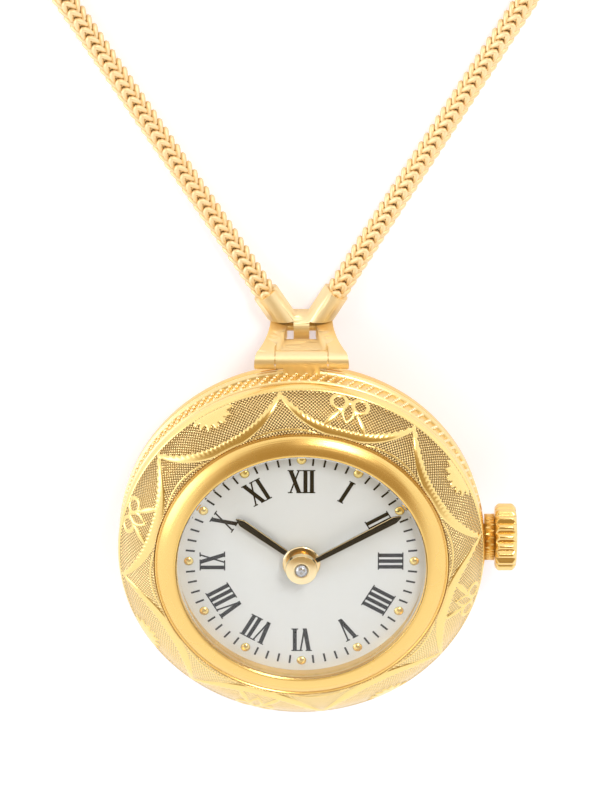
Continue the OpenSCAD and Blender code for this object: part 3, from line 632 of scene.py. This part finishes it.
def flower(u, v):
    """A flower in outline: a pointed middle petal, two round ones, a calyx and two long leaves."""
    a = np.abs(u)
    outline = np.abs(np.hypot(a - 0.68, v - 0.55) - 0.48) - 0.1
    middle = np.abs(petal(u, v, (0, 0.5), (0, 1.85), 0.36)) - 0.075
    calyx = np.hypot(u, (v - 0.45) * 1.3) - 0.2
    blade = petal(a, v, (0.45, 1.05), (1.6, 2.45), 0.17)
    return np.minimum(np.minimum(outline, middle), np.minimum(calyx, blade))


print(BAYS, "bays of", round(BAY_W, 2), "mm")

# %% [markdown]
# A ribbon hangs from the rim like a full curtain swag: its sag follows 1 minus a power of the way across
# half a bay. It is thin at its cusps and swells in the middle, and its side towards the rim is milled
# like a rope. Across from each cusp, a small scallop lies along the bezel.
# %% The pattern, bay by bay
SWAG, SWAG_POWER, SWAG_ROUND, SWAG_END = 0.9, 2.3, 0.72, 0.02
RIBBON_THIN, RIBBON_SWELL = 0.07, 0.24
ROPE_DEEP, ROPE_LAY = 0.055, 19
SCALLOP_H, SCALLOP_W, SCALLOP_LINE = 0.34, 2.7, 0.05
SOFT_EDGE, SOFT_LINE, ROUND_OVER = 0.09, 0.06, 0.3
SCALLOP_HIGH, MOTIF_HIGH, RIBBON_EDGE_HIGH = 0.6, 0.8, 0.75
FAR = 9.0


def pattern(angle, depth, full):
    """Height from 0 to 1 of the relief at a clock angle in degrees and so many mm in from the rim, of
    the full depth between rim and bezel."""
    turn = (angle - FIRST_CUSP) / (360 / BAYS)
    bay = np.floor(turn).astype(int)
    u = (turn - bay - 0.5) * BAY_W
    share = np.clip(np.abs(u) / (BAY_W / 2), 0, 1)
    rest = np.clip(1 - share**SWAG_POWER, 1e-4, 1)
    sag = full * SWAG * rest**SWAG_ROUND + SWAG_END
    steep = full * SWAG * SWAG_ROUND * SWAG_POWER / (BAY_W / 2)
    slope = steep * rest ** (SWAG_ROUND - 1) * share ** (SWAG_POWER - 1)
    to_ribbon = np.abs(depth - sag) / np.sqrt(1 + slope**2)
    rope = np.where(depth < sag, ROPE_DEEP * np.cos(u * ROPE_LAY), 0.0)
    ribbon = to_ribbon - (RIBBON_THIN + RIBBON_SWELL * (1 - share) ** 0.7 * (1 + share)) - rope
    past = BAY_W / 2 - np.abs(u)
    scallop = full - SCALLOP_H * np.clip(1 - (past / SCALLOP_W) ** 2, 0, 1) + 0.04
    scallop = np.where(depth > sag, np.abs(depth - scallop) - SCALLOP_LINE, FAR)
    motif = np.where(bay % 2 == 0, flower(u, depth), leaf(u, depth))
    motif = np.where(depth < sag, motif, FAR)
    crown = np.clip(-ribbon / ROUND_OVER, 0, 1)
    ribbon_high = step_down(ribbon, SOFT_EDGE) * (RIBBON_EDGE_HIGH + (1 - RIBBON_EDGE_HIGH) * crown)
    high = np.maximum(ribbon_high, step_down(scallop, SOFT_LINE) * SCALLOP_HIGH)
    return np.maximum(high, step_down(motif, SOFT_EDGE) * MOTIF_HIGH)


# %% [markdown]
# The front is one closed shell: a lip on the band, the dome, and the inside that seats the bezel. Its grid
# has 1080 columns, so that a column is 0.07 mm wide at the rim.
# %% The front's profile
ROUND, DOME_STEPS = 1080, 52
DOME_TOP_R = 9.7
lip = [(11.0, 5.91), (11.9, 5.91), (12.0, 5.94)] + arc((12.03, 6.0), (12.03, 6.88), -0.11, 10)[1:]
lip += [(11.99, 6.93), (11.93, 6.95), (11.92, 6.99)]
dome = arc((11.98, 7.03), (DOME_TOP_R, Z_TOP), -0.3, DOME_STEPS)
inner = [(9.7, 8.46), (8.96, 8.46), (8.96, 7.9), (8.54, 7.9), (8.54, 7.5), (10.9, 7.5), (10.9, 5.95)]
path = np.array(lip + dome + inner)
n_rows = len(path)
dome_start, dome_end = len(lip), len(lip) + len(dome)
steps = np.concatenate([[0], np.cumsum(np.linalg.norm(np.diff(path, axis=0), axis=1))])
depth_of = steps - steps[dome_start]
full_depth = depth_of[dome_end - 1]
tangent = np.gradient(path, axis=0)
outward = np.stack([tangent[:, 1], -tangent[:, 0]], axis=1)
outward /= np.linalg.norm(outward, axis=1)[:, None]
print("depth of the dome", round(full_depth, 2), "mm")

# %% The relief on the grid
RELIEF = 0.085
PLAIN_LEVEL = 0.6
EDGE_FADE = 0.08
clock = np.arange(ROUND) * 360 / ROUND
rows = np.arange(n_rows)
grid_angle, grid_row = np.meshgrid(clock, rows, indexing="ij")
on_dome = (grid_row >= dome_start) & (grid_row < dome_end)
to_edge = np.minimum(depth_of[grid_row], full_depth - depth_of[grid_row])
fade = np.clip(to_edge / EDGE_FADE, 0, 1)
relief = np.where(on_dome, pattern(grid_angle, depth_of[grid_row], full_depth) * fade, 0.0)
lift = (relief - PLAIN_LEVEL) * RELIEF * on_dome * fade
radius = path[grid_row, 0] + outward[grid_row, 0] * lift
height = path[grid_row, 1] + outward[grid_row, 1] * lift
turn = np.radians(grid_angle)
verts = np.stack([radius * np.sin(turn), radius * np.cos(turn), height], axis=-1).reshape(-1, 3)
first = np.arange(ROUND)[:, None] * n_rows
after = (np.arange(ROUND)[:, None] + 1) % ROUND * n_rows
low, high = rows[None, :], (rows[None, :] + 1) % n_rows
quads = np.stack([first + low, first + high, after + high, after + low], axis=-1).reshape(-1, 4)
front = mesh_object("engraved_front", verts, quads.tolist())
print("front:", len(quads), "faces")

# %% [markdown]
# Three things are kept for the material: how high a point lies, how far its cuts fade, and where it lies on
# the unrolled sheet in millimetres. The last column of faces closes the round, so there the sheet runs on to
# its full length instead of jumping back to 0.
# %% What the material reads off the mesh
# From 50 to 120 degrees off 12 o'clock the cuts get shallower and their painted shade paler.
FADE_FROM, FADE_TO = 50, 120
GIRTH = 2 * math.pi * MEAN_R
polish = front.data.attributes.new("polish", "FLOAT", "POINT")
polish.data.foreach_set("value", np.where(on_dome, relief, 1.0).reshape(-1))
cut_fade = front.data.attributes.new("cut_fade", "FLOAT", "POINT")
from_twelve = np.abs((clock + 180) % 360 - 180)
fading = np.clip((from_twelve - FADE_FROM) / (FADE_TO - FADE_FROM), 0, 1)
cut_fade.data.foreach_set("value", np.repeat(fading, n_rows))
wrap = front.data.uv_layers.new(name="wrap")
loop_vert = np.empty(len(front.data.loops), dtype=int)
front.data.loops.foreach_get("vertex_index", loop_vert)
across = (np.repeat(clock, n_rows) / 360 * GIRTH)[loop_vert]
last_column = np.repeat(np.arange(len(quads)) // n_rows, 4) == ROUND - 1
across += ((across < 1) & last_column) * GIRTH
down = np.tile(depth_of, ROUND)[loop_vert]
wrap.data.foreach_set("uv", np.stack([across, down], axis=1).reshape(-1))
print("the unrolled sheet is", round(GIRTH, 1), "mm long")

# %% [markdown]
# The ground of the engraving is cut with two sets of fine lines at a right angle, 0.15 mm apart on the
# real piece. Here they are 0.165 mm apart, so that a 600 pixel picture still shows them. The cuts are
# painted dark: painted shade for their depth, where the gold mirrors only itself. In the lower half the
# photograph shows hardly any cuts, so a second attribute of the mesh makes the cuts shallower there and
# their painted shade paler, from 50 to 120 degrees off 12 o'clock.
# %% Engraved gold
# The cut colour is painted shade: it darkens the depth of the fine cuts.
RAISED_GOLD, GROUND_GOLD, CUT_SHADE_GOLD = "F8D88E", "FCDE9E", "70501E"
CUT_STEP, CUT_DEEP = 0.165, 0.05 * MM
# At a scale of 1 a wave texture repeats every 2 pi / 20.
CUT_SCALE = 2 * math.pi / 20 / CUT_STEP
# At 6 o'clock the cuts keep this share of their depth and of their painted shade.
FADED_CUT_SHARE = 0.35


def engraved_gold():
    """Gold, polished where the relief is high and finely cut across in the ground, with painted shade in the
    cuts.
    """
    made, tree, shader = plain("engraved_gold_plate", GOLD, 0.2)
    shader.inputs["Metallic"].default_value = 1.0
    level = add(tree, "ShaderNodeAttribute", attribute_name="polish").outputs["Fac"]
    ground = add(tree, "ShaderNodeMapRange", {"Value": level, "From Min": 0.35, "From Max": 0.15})
    sheet = add(tree, "ShaderNodeUVMap", uv_map="wrap")
    cuts = []
    for lean in (48, -42):
        turned = add(tree, "ShaderNodeMapping", {"Vector": sheet, "Rotation": (0, 0, math.radians(lean))})
        cuts.append(add(tree, "ShaderNodeTexWave", {
            "Vector": turned, "Scale": CUT_SCALE, "Distortion": 0.15, "Detail": 1.0,
            "Detail Scale": 0.5}).outputs["Fac"])
    both = add(tree, "ShaderNodeMath", {0: cuts[0], 1: cuts[1]}, operation="MULTIPLY")
    raised = add(tree, "ShaderNodeMapRange", {"Value": both, "From Max": 0.35})
    fading = add(tree, "ShaderNodeAttribute", attribute_name="cut_fade").outputs["Fac"]
    cut_strength = add(tree, "ShaderNodeMapRange", {"Value": fading, "To Min": 1.0, "To Max": FADED_CUT_SHARE})
    # Painted shade in the cuts of the ground, paler where the cuts fade.
    dark = add(tree, "ShaderNodeMath", {0: 1.0, 1: raised}, operation="SUBTRACT")
    dark = add(tree, "ShaderNodeMath", {0: dark, 1: ground}, operation="MULTIPLY")
    dark = add(tree, "ShaderNodeMath", {0: dark, 1: cut_strength}, operation="MULTIPLY")
    bright = add(tree, "ShaderNodeMix", {0: ground, MIX_A: linear(RAISED_GOLD), MIX_B: linear(GROUND_GOLD)},
                 data_type="RGBA")
    colour = add(tree, "ShaderNodeMix", {0: dark, MIX_A: bright.outputs[MIXED], MIX_B: linear(CUT_SHADE_GOLD)},
                 data_type="RGBA")
    tree.links.new(colour.outputs[MIXED], shader.inputs["Base Color"])
    rough = add(tree, "ShaderNodeMapRange", {"Value": ground, "To Min": 0.22, "To Max": 0.18})
    tree.links.new(rough.outputs[0], shader.inputs["Roughness"])
    lift = add(tree, "ShaderNodeMath", {0: both, 1: ground}, operation="MULTIPLY")
    lift = add(tree, "ShaderNodeMath", {0: lift, 1: cut_strength}, operation="MULTIPLY")
    bump = add(tree, "ShaderNodeBump", {"Height": lift, "Strength": 1.0, "Distance": CUT_DEEP})
    tree.links.new(bump.outputs[0], shader.inputs["Normal"])
    return made


settle(front, "case", engraved_gold(), ["case_front"])

# %% [markdown]
# ## Bezel and crystal
#
# The bezel is a smooth ring in a fine satin, turned with a small step at its outer edge, and it holds a
# domed acrylic crystal. Light has to reach the dial through the crystal, so for lamps it is clear, and for
# the eye it is real glass with both its faces.
# %% Bezel
bezel_profile = [(8.08, 7.9), (8.93, 7.9), (8.93, 8.47), (9.66, 8.47), (9.66, 8.66), (9.62, 8.73),
                 (9.56, 8.75), (9.52, 8.72), (9.49, 8.73)]
bezel_profile += arc((9.47, 8.76), (8.45, 9.28), -0.08, 18)
bezel_profile += [(8.36, 9.29), (8.27, 9.28), (8.225, 9.24), (8.215, 8.86), (8.1, 8.85)]
bezel = turned_piece("bezel_ring", bezel_profile, closed=True)
settle(bezel, "case", satin_gold, ["bezel"])

# %% Crystal


def crystal_material():
    """Clear acrylic: it bends the view a little at its edge, and throws no shadow on the dial."""
    made, tree, shader = plain("clear_acrylic_crystal", "FFFFFF", 0.0)
    shader.inputs["Transmission Weight"].default_value = 1.0
    shader.inputs["IOR"].default_value = 1.45
    shader.inputs["Specular IOR Level"].default_value = 0.1
    clear = add(tree, "ShaderNodeBsdfTransparent", {"Color": (1, 1, 1, 1)})
    shadow = add(tree, "ShaderNodeLightPath").outputs["Is Shadow Ray"]
    mix = add(tree, "ShaderNodeMixShader", {0: shadow, 1: shader, 2: clear})
    tree.links.new(mix.outputs[0], tree.nodes["Material Output"].inputs["Surface"])
    return made


top = arc((8.2, 9.3), (0, 10.88), -0.37, 40)
under = arc((0, 10.28), (7.95, 8.9), 0.34, 40)
glass = turned_piece("crystal_dome", [(7.95, 8.86), (8.2, 8.86)] + top + under, degrees=40)
settle(glass, "case", crystal_material(), ["crystal"])

# %% [markdown]
# ## Dial
#
# A brass disc under white lacquer. Numerals and minute ticks are printed, and printing ink stands a
# hundredth of a millimetre proud, so they are thin plates of their own. Roman numerals are drawn from
# their strokes: thick stems, thin stems and hairline serifs.
# %% Lacquered disc
LACQUER, LACQUER_DEEP = "CBCDCC", "C5C8C6"
# Sprayed lacquer: a cool white with a faint orange-peel, three bumps to a millimetre, under a thin gloss.
lacquer, tree, shader = plain("white_lacquer", LACQUER, 0.38)
place = add(tree, "ShaderNodeTexCoord").outputs["Object"]
cloud = add(tree, "ShaderNodeTexNoise", {"Vector": place, "Scale": 0.09 / MM, "Detail": 3.0})
tint = add(tree, "ShaderNodeMix", {0: cloud, MIX_A: linear(LACQUER), MIX_B: linear(LACQUER_DEEP)},
           data_type="RGBA")
tree.links.new(tint.outputs[MIXED], shader.inputs["Base Color"])
peel = add(tree, "ShaderNodeTexNoise", {"Vector": place, "Scale": 3 / MM, "Detail": 2.0})
bump = add(tree, "ShaderNodeBump", {"Height": peel, "Strength": 0.12, "Distance": BUMP_DEPTH})
tree.links.new(bump.outputs[0], shader.inputs["Normal"])
shader.inputs["Coat Weight"].default_value = 0.25
shader.inputs["Coat Roughness"].default_value = 0.2


def dress(name, material):
    """Puts a finish on every slot of a CAD node that stays in view."""
    for slot in nodes[name].material_slots:
        slot.material = material


dress("dial", lacquer)

# %% Printing ink
INK_T = 0.012
# Printing ink is a brownish black that hardly mirrors, with a grain of a quarter of a millimetre.
ink, tree, shader = plain("black_printing_ink", "0E0B09", 0.45)
shader.inputs["Specular IOR Level"].default_value = 0.06
place = add(tree, "ShaderNodeTexCoord").outputs["Object"]
spread = add(tree, "ShaderNodeTexNoise", {"Vector": place, "Scale": 4 / MM})
tone = add(tree, "ShaderNodeMapRange", {"Value": spread, "To Min": 0.35, "To Max": 0.6})
tree.links.new(tone.outputs[0], shader.inputs["Roughness"])

# %% Letters from strokes
NUMERAL_R, NUMERAL_H = 5.8, 1.68
THICK, THIN, HAIR = 0.26, 0.11, 0.08


def stroke(x0, x1, width, h):
    """A slanted stem from x0 at the foot to x1 at the head."""
    return [(x0 - width / 2, 0), (x0 + width / 2, 0), (x1 + width / 2, h), (x1 - width / 2, h)]


def serif(x, y, width):
    """A hairline that lies across the end of a stem."""
    return [(x - width / 2, y), (x + width / 2, y), (x + width / 2, y + HAIR), (x - width / 2, y + HAIR)]


def letter(sign, h):
    """Strokes of one letter, and its width."""
    head = h - HAIR
    if sign == "I":
        return [stroke(0.21, 0.21, THICK, h), serif(0.21, 0, 0.44), serif(0.21, head, 0.44)], 0.42
    if sign == "V":
        return [stroke(0.44, 0.17, THICK * 1.05, h), stroke(0.46, 0.72, THIN, h),
                serif(0.17, head, 0.42), serif(0.73, head, 0.3)], 0.88
    return [stroke(0.74, 0.17, THICK * 1.1, h), stroke(0.15, 0.73, THIN, h), serif(0.18, head, 0.4),
            serif(0.74, head, 0.32), serif(0.15, 0, 0.32), serif(0.75, 0, 0.4)], 0.93


# %% Numerals


def plate(verts, faces, outline, low, high):
    """Adds a thin flat plate with this convex outline to a mesh in the making."""
    k, n = len(verts), len(outline)
    verts += [(x, y, low) for x, y in outline] + [(x, y, high) for x, y in outline]
    faces += [tuple(k + n + i for i in range(n)), tuple(k + i for i in reversed(range(n)))]
    faces += [(k + i, k + (i + 1) % n, k + n + (i + 1) % n, k + n + i) for i in range(n)]


def round_dial(x, y, degrees):
    """A point that is drawn at 12 o'clock, turned clockwise to its place on the dial."""
    a = math.radians(degrees)
    return x * math.cos(a) + y * math.sin(a), y * math.cos(a) - x * math.sin(a)


verts, faces = [], []
for hour, word in enumerate(["XII", "I", "II", "III", "IIII", "V", "VI", "VII", "VIII", "IX", "X", "XI"]):
    drawn, pen = [], 0.0
    for sign in word:
        strokes, width = letter(sign, NUMERAL_H)
        drawn += [[(x + pen, y) for x, y in outline] for outline in strokes]
        pen += width
    foot = NUMERAL_R - NUMERAL_H / 2
    for outline in drawn:
        spots = [round_dial(x - pen / 2, foot + y, 30 * hour) for x, y in outline]
        plate(verts, faces, spots, Z_DIAL, Z_DIAL + INK_T)
numerals = mesh_object("printed_numerals", verts, faces, smooth=False)
settle(numerals, "case", ink)

# %% Minute ticks
TICKS = 60
tick_tree, given, result = new_tree("minute_ticks", {
    "Radius": 7.28 * MM, "Length": 0.6 * MM, "Width": 0.13 * MM, "Ink": INK_T * MM})
index = add(tick_tree, "GeometryNodeInputIndex")
angle = add(tick_tree, "ShaderNodeMath", {0: index, 1: -2 * math.pi / TICKS}, operation="MULTIPLY")
dots = add(tick_tree, "GeometryNodePoints", {"Count": TICKS})
cosine = add(tick_tree, "ShaderNodeMath", {0: angle}, operation="COSINE")
sine = add(tick_tree, "ShaderNodeMath", {0: angle}, operation="SINE")
x = add(tick_tree, "ShaderNodeMath", {0: cosine, 1: given["Radius"]}, operation="MULTIPLY")
y = add(tick_tree, "ShaderNodeMath", {0: sine, 1: given["Radius"]}, operation="MULTIPLY")
spot = add(tick_tree, "ShaderNodeCombineXYZ", {0: x, 1: y, 2: (Z_DIAL + INK_T / 2) * MM})
placed = add(tick_tree, "GeometryNodeSetPosition", {"Geometry": dots, "Position": spot})
box_size = add(tick_tree, "ShaderNodeCombineXYZ", {0: given["Length"], 1: given["Width"], 2: given["Ink"]})
mark = add(tick_tree, "GeometryNodeMeshCube", {"Size": box_size})
# Every fifth place belongs to an hour dot and gets no tick.
fifth = add(tick_tree, "ShaderNodeMath", {0: index, 1: 5.0}, operation="MODULO")
between = add(tick_tree, "FunctionNodeCompare", {0: fifth, 1: 0.5}, operation="GREATER_THAN")
facing = add(tick_tree, "ShaderNodeCombineXYZ", {2: angle})
marks = add(tick_tree, "GeometryNodeInstanceOnPoints",
            {"Points": placed, "Selection": between, "Instance": mark, "Rotation": facing})
close_tree(tick_tree, marks, ink, result, smooth=False)
ticks = grow("minute_ticks", tick_tree, mesh_object("seed", [(0, 0, 0)], []))
settle(ticks, "case", ink)

# %% Hour dots
DOT_RING, DOT_R, DOT_H = 7.35, 0.32, 0.15
verts, faces = [], []
dot_verts, dot_faces = spin([(0, 0.0)] + arc((DOT_R, 0), (0, DOT_H), -0.045, 8), 28)
for hour in range(12):
    k = len(verts)
    dot_x, dot_y = round_dial(0, DOT_RING, 30 * hour)
    verts += [(x + dot_x, y + dot_y, z + Z_DIAL) for x, y, z in dot_verts]
    faces += [tuple(k + i for i in face) for face in dot_faces]
hour_dots = mesh_object("hour_dot_domes", verts, faces)
# Raised dots, polished and a little greener than the case, each with one small bright highlight.
dot_gold = gold_plate("polished_dot_gold", 0.22, tones=("EAD288", "DCC072"))
settle(hour_dots, "case", dot_gold, ["hour_dots"])

# %% [markdown]
# ## Hands
#
# Each hand is stamped from thin brass: a round boss in bright gold and a black lacquered blade with a fine
# groove along each side, whose bevelled edges were left in gold.
#
# In the photograph the blades stand a little ahead of the CAD's, which are at 304.75 and 57 degrees,
# because hands that are pushed on aren't always in step. Each blade is drawn at its photographed angle
# and turns with its own joint.
# %% Blades
HOUR_AT, MINUTE_AT = 307.5, 60.0
BLADE_T, SHOULDER, TAPER, POINT = 0.11, 1.5, 0.5, 0.1
CROSS = [(-1, 0), (-1, 0.75), (-0.9, 1), (-0.42, 1), (-0.36, 0.7), (-0.3, 1),
         (0.3, 1), (0.36, 0.7), (0.42, 1), (0.9, 1), (1, 0.75), (1, 0)]
BEVELS = (1, 9)
# Black lacquer over brass: deep, with a weak broad sheen.
black, tree, shader = plain("black_lacquered_hand", "0E0C0B", 0.3)
shader.inputs["Specular IOR Level"].default_value = 0.12
place = add(tree, "ShaderNodeTexCoord").outputs["Object"]
speck = add(tree, "ShaderNodeTexNoise", {"Vector": place, "Scale": 1.8 / MM})
sheen = add(tree, "ShaderNodeMapRange", {"Value": speck, "To Min": 0.22, "To Max": 0.42})
tree.links.new(sheen.outputs[0], shader.inputs["Roughness"])


def skin(rings, n):
    """Quads between rings of n points each, which follow one another in a mesh's points."""
    return [(k * n + i, k * n + (i + 1) % n, (k + 1) * n + (i + 1) % n, (k + 1) * n + i)
            for k in range(rings - 1) for i in range(n)]


def blade(name, length, start, half_widths, level, clock_angle):
    """A grooved blade, drawn from station to station along its length and turned to its clock angle."""
    stations = [start, SHOULDER, length * 0.6, length - TAPER, length - POINT, length]
    n = len(CROSS)
    verts = [(*round_dial(x * half, y, clock_angle), level + z * BLADE_T)
             for y, half in zip(stations, half_widths) for x, z in CROSS]
    last = (len(stations) - 1) * n
    ends = [tuple(range(n)), tuple(last + i for i in reversed(range(n)))]
    made = mesh_object(name, verts, skin(len(stations), n) + ends, smooth=False)
    made.data.materials.append(black)
    made.data.materials.append(burnished_gold)
    for k in range(len(stations) - 1):
        for i in BEVELS:
            made.data.polygons[k * n + i].material_index = 1
    return made


hour_blade = blade("hour_blade", 5.35, 1.28, [0.19, 0.2, 0.235, 0.26, 0.08, 0.02], Z_DIAL + 0.31, HOUR_AT)
minute_blade = blade("minute_blade", 7.45, 1.08, [0.18, 0.19, 0.225, 0.25, 0.11, 0.03], Z_DIAL + 0.86,
                     MINUTE_AT)
settle(hour_blade, "hour_motion", black)
settle(minute_blade, "minute_motion", black)

# %% Bosses


def boss(name, profile):
    """A turned boss. Its profile gives radius and height over the dial."""
    over_dial = [(radius, Z_DIAL + height) for radius, height in profile]
    return turned_piece(name, over_dial, closed=True, steps=96)


hour_boss = boss("hour_boss", [(0.62, 0.13), (0.84, 0.13), (0.85, 0.3), (1.18, 0.3), (1.22, 0.33),
                               (1.22, 0.38), (1.17, 0.425), (0.62, 0.43)])
minute_boss = boss("minute_boss", [(0.37, 0.61), (0.69, 0.61), (0.7, 0.85), (0.98, 0.86), (1.02, 0.9),
                                   (1.02, 1.27)] + arc((1.0, 1.3), (0.48, 1.36), -0.012, 6)
                   + [(0.43, 1.34), (0.37, 1.26)])
settle(hour_boss, "hour_motion", burnished_gold, ["hour_hand"])
settle(minute_boss, "minute_motion", burnished_gold, ["minute_hand"])

# %% [markdown]
# ## Crown
#
# The crown is turned from bar and cut with twenty round flutes. Its section is a circle of rounded ribs,
# narrowed at both ends by a bevel, so one grid of angle and length gives it.
# %% Crown
FLUTES, STEPS_A_FLUTE, FLUTE_DEEP = 20, 12, 0.24
SKIRT_R, SKIRT_DEEP, FACE_R = 1.35, 0.95, 1.7


def fluted(radius, along):
    """Ring of a section at a place along the stem. Outside the face it is cut by the flutes."""
    ring = []
    for k in range(FLUTES * STEPS_A_FLUTE):
        a = 2 * math.pi * k / (FLUTES * STEPS_A_FLUTE)
        phase = (k % STEPS_A_FLUTE) / STEPS_A_FLUTE * 2 - 1
        flute = FLUTE_DEEP * phase**2 * (1.6 - 0.6 * phase**2)
        r = min(radius, CROWN_R - flute) if radius > FACE_R else radius
        ring.append((CROWN_X + along, r * math.cos(a), Z_STEM + r * math.sin(a)))
    return ring


crown_profile = [(SKIRT_R, 0.02), (1.36, 0.0), (1.95, 0.0), (2.0, 0.02), (2.12, 0.12), (2.21, 0.22),
                 (CROWN_R, 0.28), (CROWN_R, 1.1), (2.2, 1.18), (2.08, 1.3), (1.95, 1.4), (1.85, 1.41)]
crown_profile += arc((1.8, 1.41), (0.001, 1.51), -0.03, 8)[1:]
n = FLUTES * STEPS_A_FLUTE
verts = [point for radius, along in crown_profile for point in fluted(radius, along)]
faces = skin(len(crown_profile), n)
# The bore for the crown tube starts at the first ring and ends in a flat.
bore = len(verts)
verts += fluted(SKIRT_R, SKIRT_DEEP)
faces += [(i, bore + i, bore + (i + 1) % n, (i + 1) % n) for i in range(n)]
faces += [tuple(bore + i for i in reversed(range(n)))]
# Burnished by fingers, with small bright highlights, and a little paler than the case.
crown_gold = gold_plate("burnished_crown_gold", 0.2, tones=("F5D48E", "ECC275"))
crown = mesh_object("fluted_crown", verts, faces)
sharpen(crown, 50)
settle(crown, "crown_body", crown_gold, ["crown"])

# %% [markdown]
# ## Pieces that keep their CAD shape
#
# The rest has its final shape in CAD. Such a node arrives as loose triangles, which shade flat. A merged
# copy with smooth shading and crisp edges stands in for each one that shows, and the pieces inside the
# case only get their finish.
# %% Smooth copies of CAD nodes


def smooth_copy(name, node, body, material):
    """A merged copy of a CAD node, which stands for it."""
    made = bpy.data.objects.new(name, nodes[node].data.copy())
    bpy.context.collection.objects.link(made)
    shell = bmesh.new()
    shell.from_mesh(made.data)
    bmesh.ops.remove_doubles(shell, verts=shell.verts, dist=1e-7)
    shell.to_mesh(made.data)
    shell.free()
    made.data.materials.clear()
    sharpen(made, 30)
    return settle(made, body, material, [node])


def worked_metal(name, colour, roughness, grains):
    """Cut or rolled metal, with so many grains of its own to a millimetre."""
    made, tree, shader = plain(name, colour, roughness)
    shader.inputs["Metallic"].default_value = 1.0
    place = add(tree, "ShaderNodeTexCoord").outputs["Object"]
    grain = add(tree, "ShaderNodeTexNoise", {"Vector": place, "Scale": grains / MM, "Detail": 3.0})
    spread = add(tree, "ShaderNodeMapRange",
                 {"Value": grain, "To Min": roughness * 0.7, "To Max": roughness * 1.4})
    tree.links.new(spread.outputs[0], shader.inputs["Roughness"])
    return made


# Satin without turning marks, because its axis isn't the watch's.
tube_gold = gold_plate("turned_tube_gold", 0.35)
# Hardened steel is grey, with tight highlights.
steel = worked_metal("hardened_steel", "B9BABD", 0.22, 3)
smooth_copy("crown_tube_turned", "crown_tube", "case", tube_gold)
smooth_copy("pendant_cast", "pendant", "case", pressed_gold)
smooth_copy("bow_cast", "bow", "bow_body", pressed_gold)
smooth_copy("bow_pin_turned", "bow_pin", "bow_body", burnished_gold)
smooth_copy("yoke_cast", "chain_yoke", "chain_body", pressed_gold)
caps = smooth_copy("end_caps_turned", "end_caps", "chain_body", burnished_gold)
jump = smooth_copy("jump_ring_wire", "jump_ring", "chain_body", burnished_gold)
loop = smooth_copy("end_ring_wire", "end_ring", "chain_body", burnished_gold)
clasp = smooth_copy("clasp_shell", "clasp_body", "chain_body", burnished_gold)
bolt = smooth_copy("clasp_bolt_wire", "clasp_bolt", "bolt_body", burnished_gold)
smooth_copy("cannon_pinion_cut", "cannon_pinion", "minute_motion", steel)

# %% The chain strands, with their finish and body
STRAND_NODES = (("strand_left", "coil_left"), ("strand_right", "coil_right"))
STRAND_ENDS = ([caps, jump, clasp, bolt], [caps, loop])
for strand, line, stands_for, ends in zip(strands, routes, STRAND_NODES, STRAND_ENDS):
    settle(strand, "chain_body", woven_gold, stands_for)
    path = [tuple(c * MM for c in point) for point in line]

# %% [markdown]
# ## Inside the case
#
# Nothing here shows with the case shut, but each piece still gets the finish of the real one. Cut brass is
# warm, nickel plate pale and half bright, soft iron dull and dark, a sintered magnet darker still, and
# enamelled copper wire a glossy red-brown. The board is green under its mask, the holder milky nylon, and
# the gaskets are matt black.
# %% Finishes of the movement


def moulded(name, colour, roughness):
    """Moulded plastic or rubber with a faint mottle, just under a grain to a millimetre."""
    made, tree, shader = plain(name, colour, roughness)
    place = add(tree, "ShaderNodeTexCoord").outputs["Object"]
    grain = add(tree, "ShaderNodeTexNoise", {"Vector": place, "Scale": 0.9 / MM, "Detail": 2.0})
    spread = add(tree, "ShaderNodeMapRange",
                 {"Value": grain, "To Min": roughness * 0.8, "To Max": roughness * 1.2})
    tree.links.new(spread.outputs[0], shader.inputs["Roughness"])
    return made


brass = worked_metal("cut_brass", "D9B566", 0.28, 2.5)
nickel = worked_metal("nickel_plated_brass", "CFCBC2", 0.3, 1.8)
iron = worked_metal("annealed_soft_iron", "8F9092", 0.42, 1.5)
magnet = worked_metal("sintered_magnet", "6A6668", 0.45, 4)
copper = worked_metal("enamelled_copper_wire", "B9693A", 0.3, 5)
board = moulded("solder_masked_board", "1E4A2A", 0.4)
nylon = moulded("natural_nylon", "EDE9DC", 0.45)
rubber = moulded("black_nitrile_rubber", "1B1B1C", 0.6)
for names, material in (
    (("main_plate", "train_bridge", "battery_clip"), nickel),
    (("centre_wheel", "hour_wheel", "minute_wheel", "setting_wheel", "intermediate_wheel"), brass),
    (("bridge_screws", "stem", "setting_pinion", "setting_lever", "quartz_can", "battery"), steel),
    (("stator", "coil_core"), iron),
    (("rotor",), magnet),
    (("coil_winding",), copper),
    (("circuit_board",), board),
    (("movement_ring",), nylon),
    (("back_gasket", "crown_gasket"), rubber),
):
    for name in names:
        dress(name, material)
bare = [name for name, node in nodes.items() if not node.hide_render and not node.material_slots]
print("nodes without a slot:", bare)
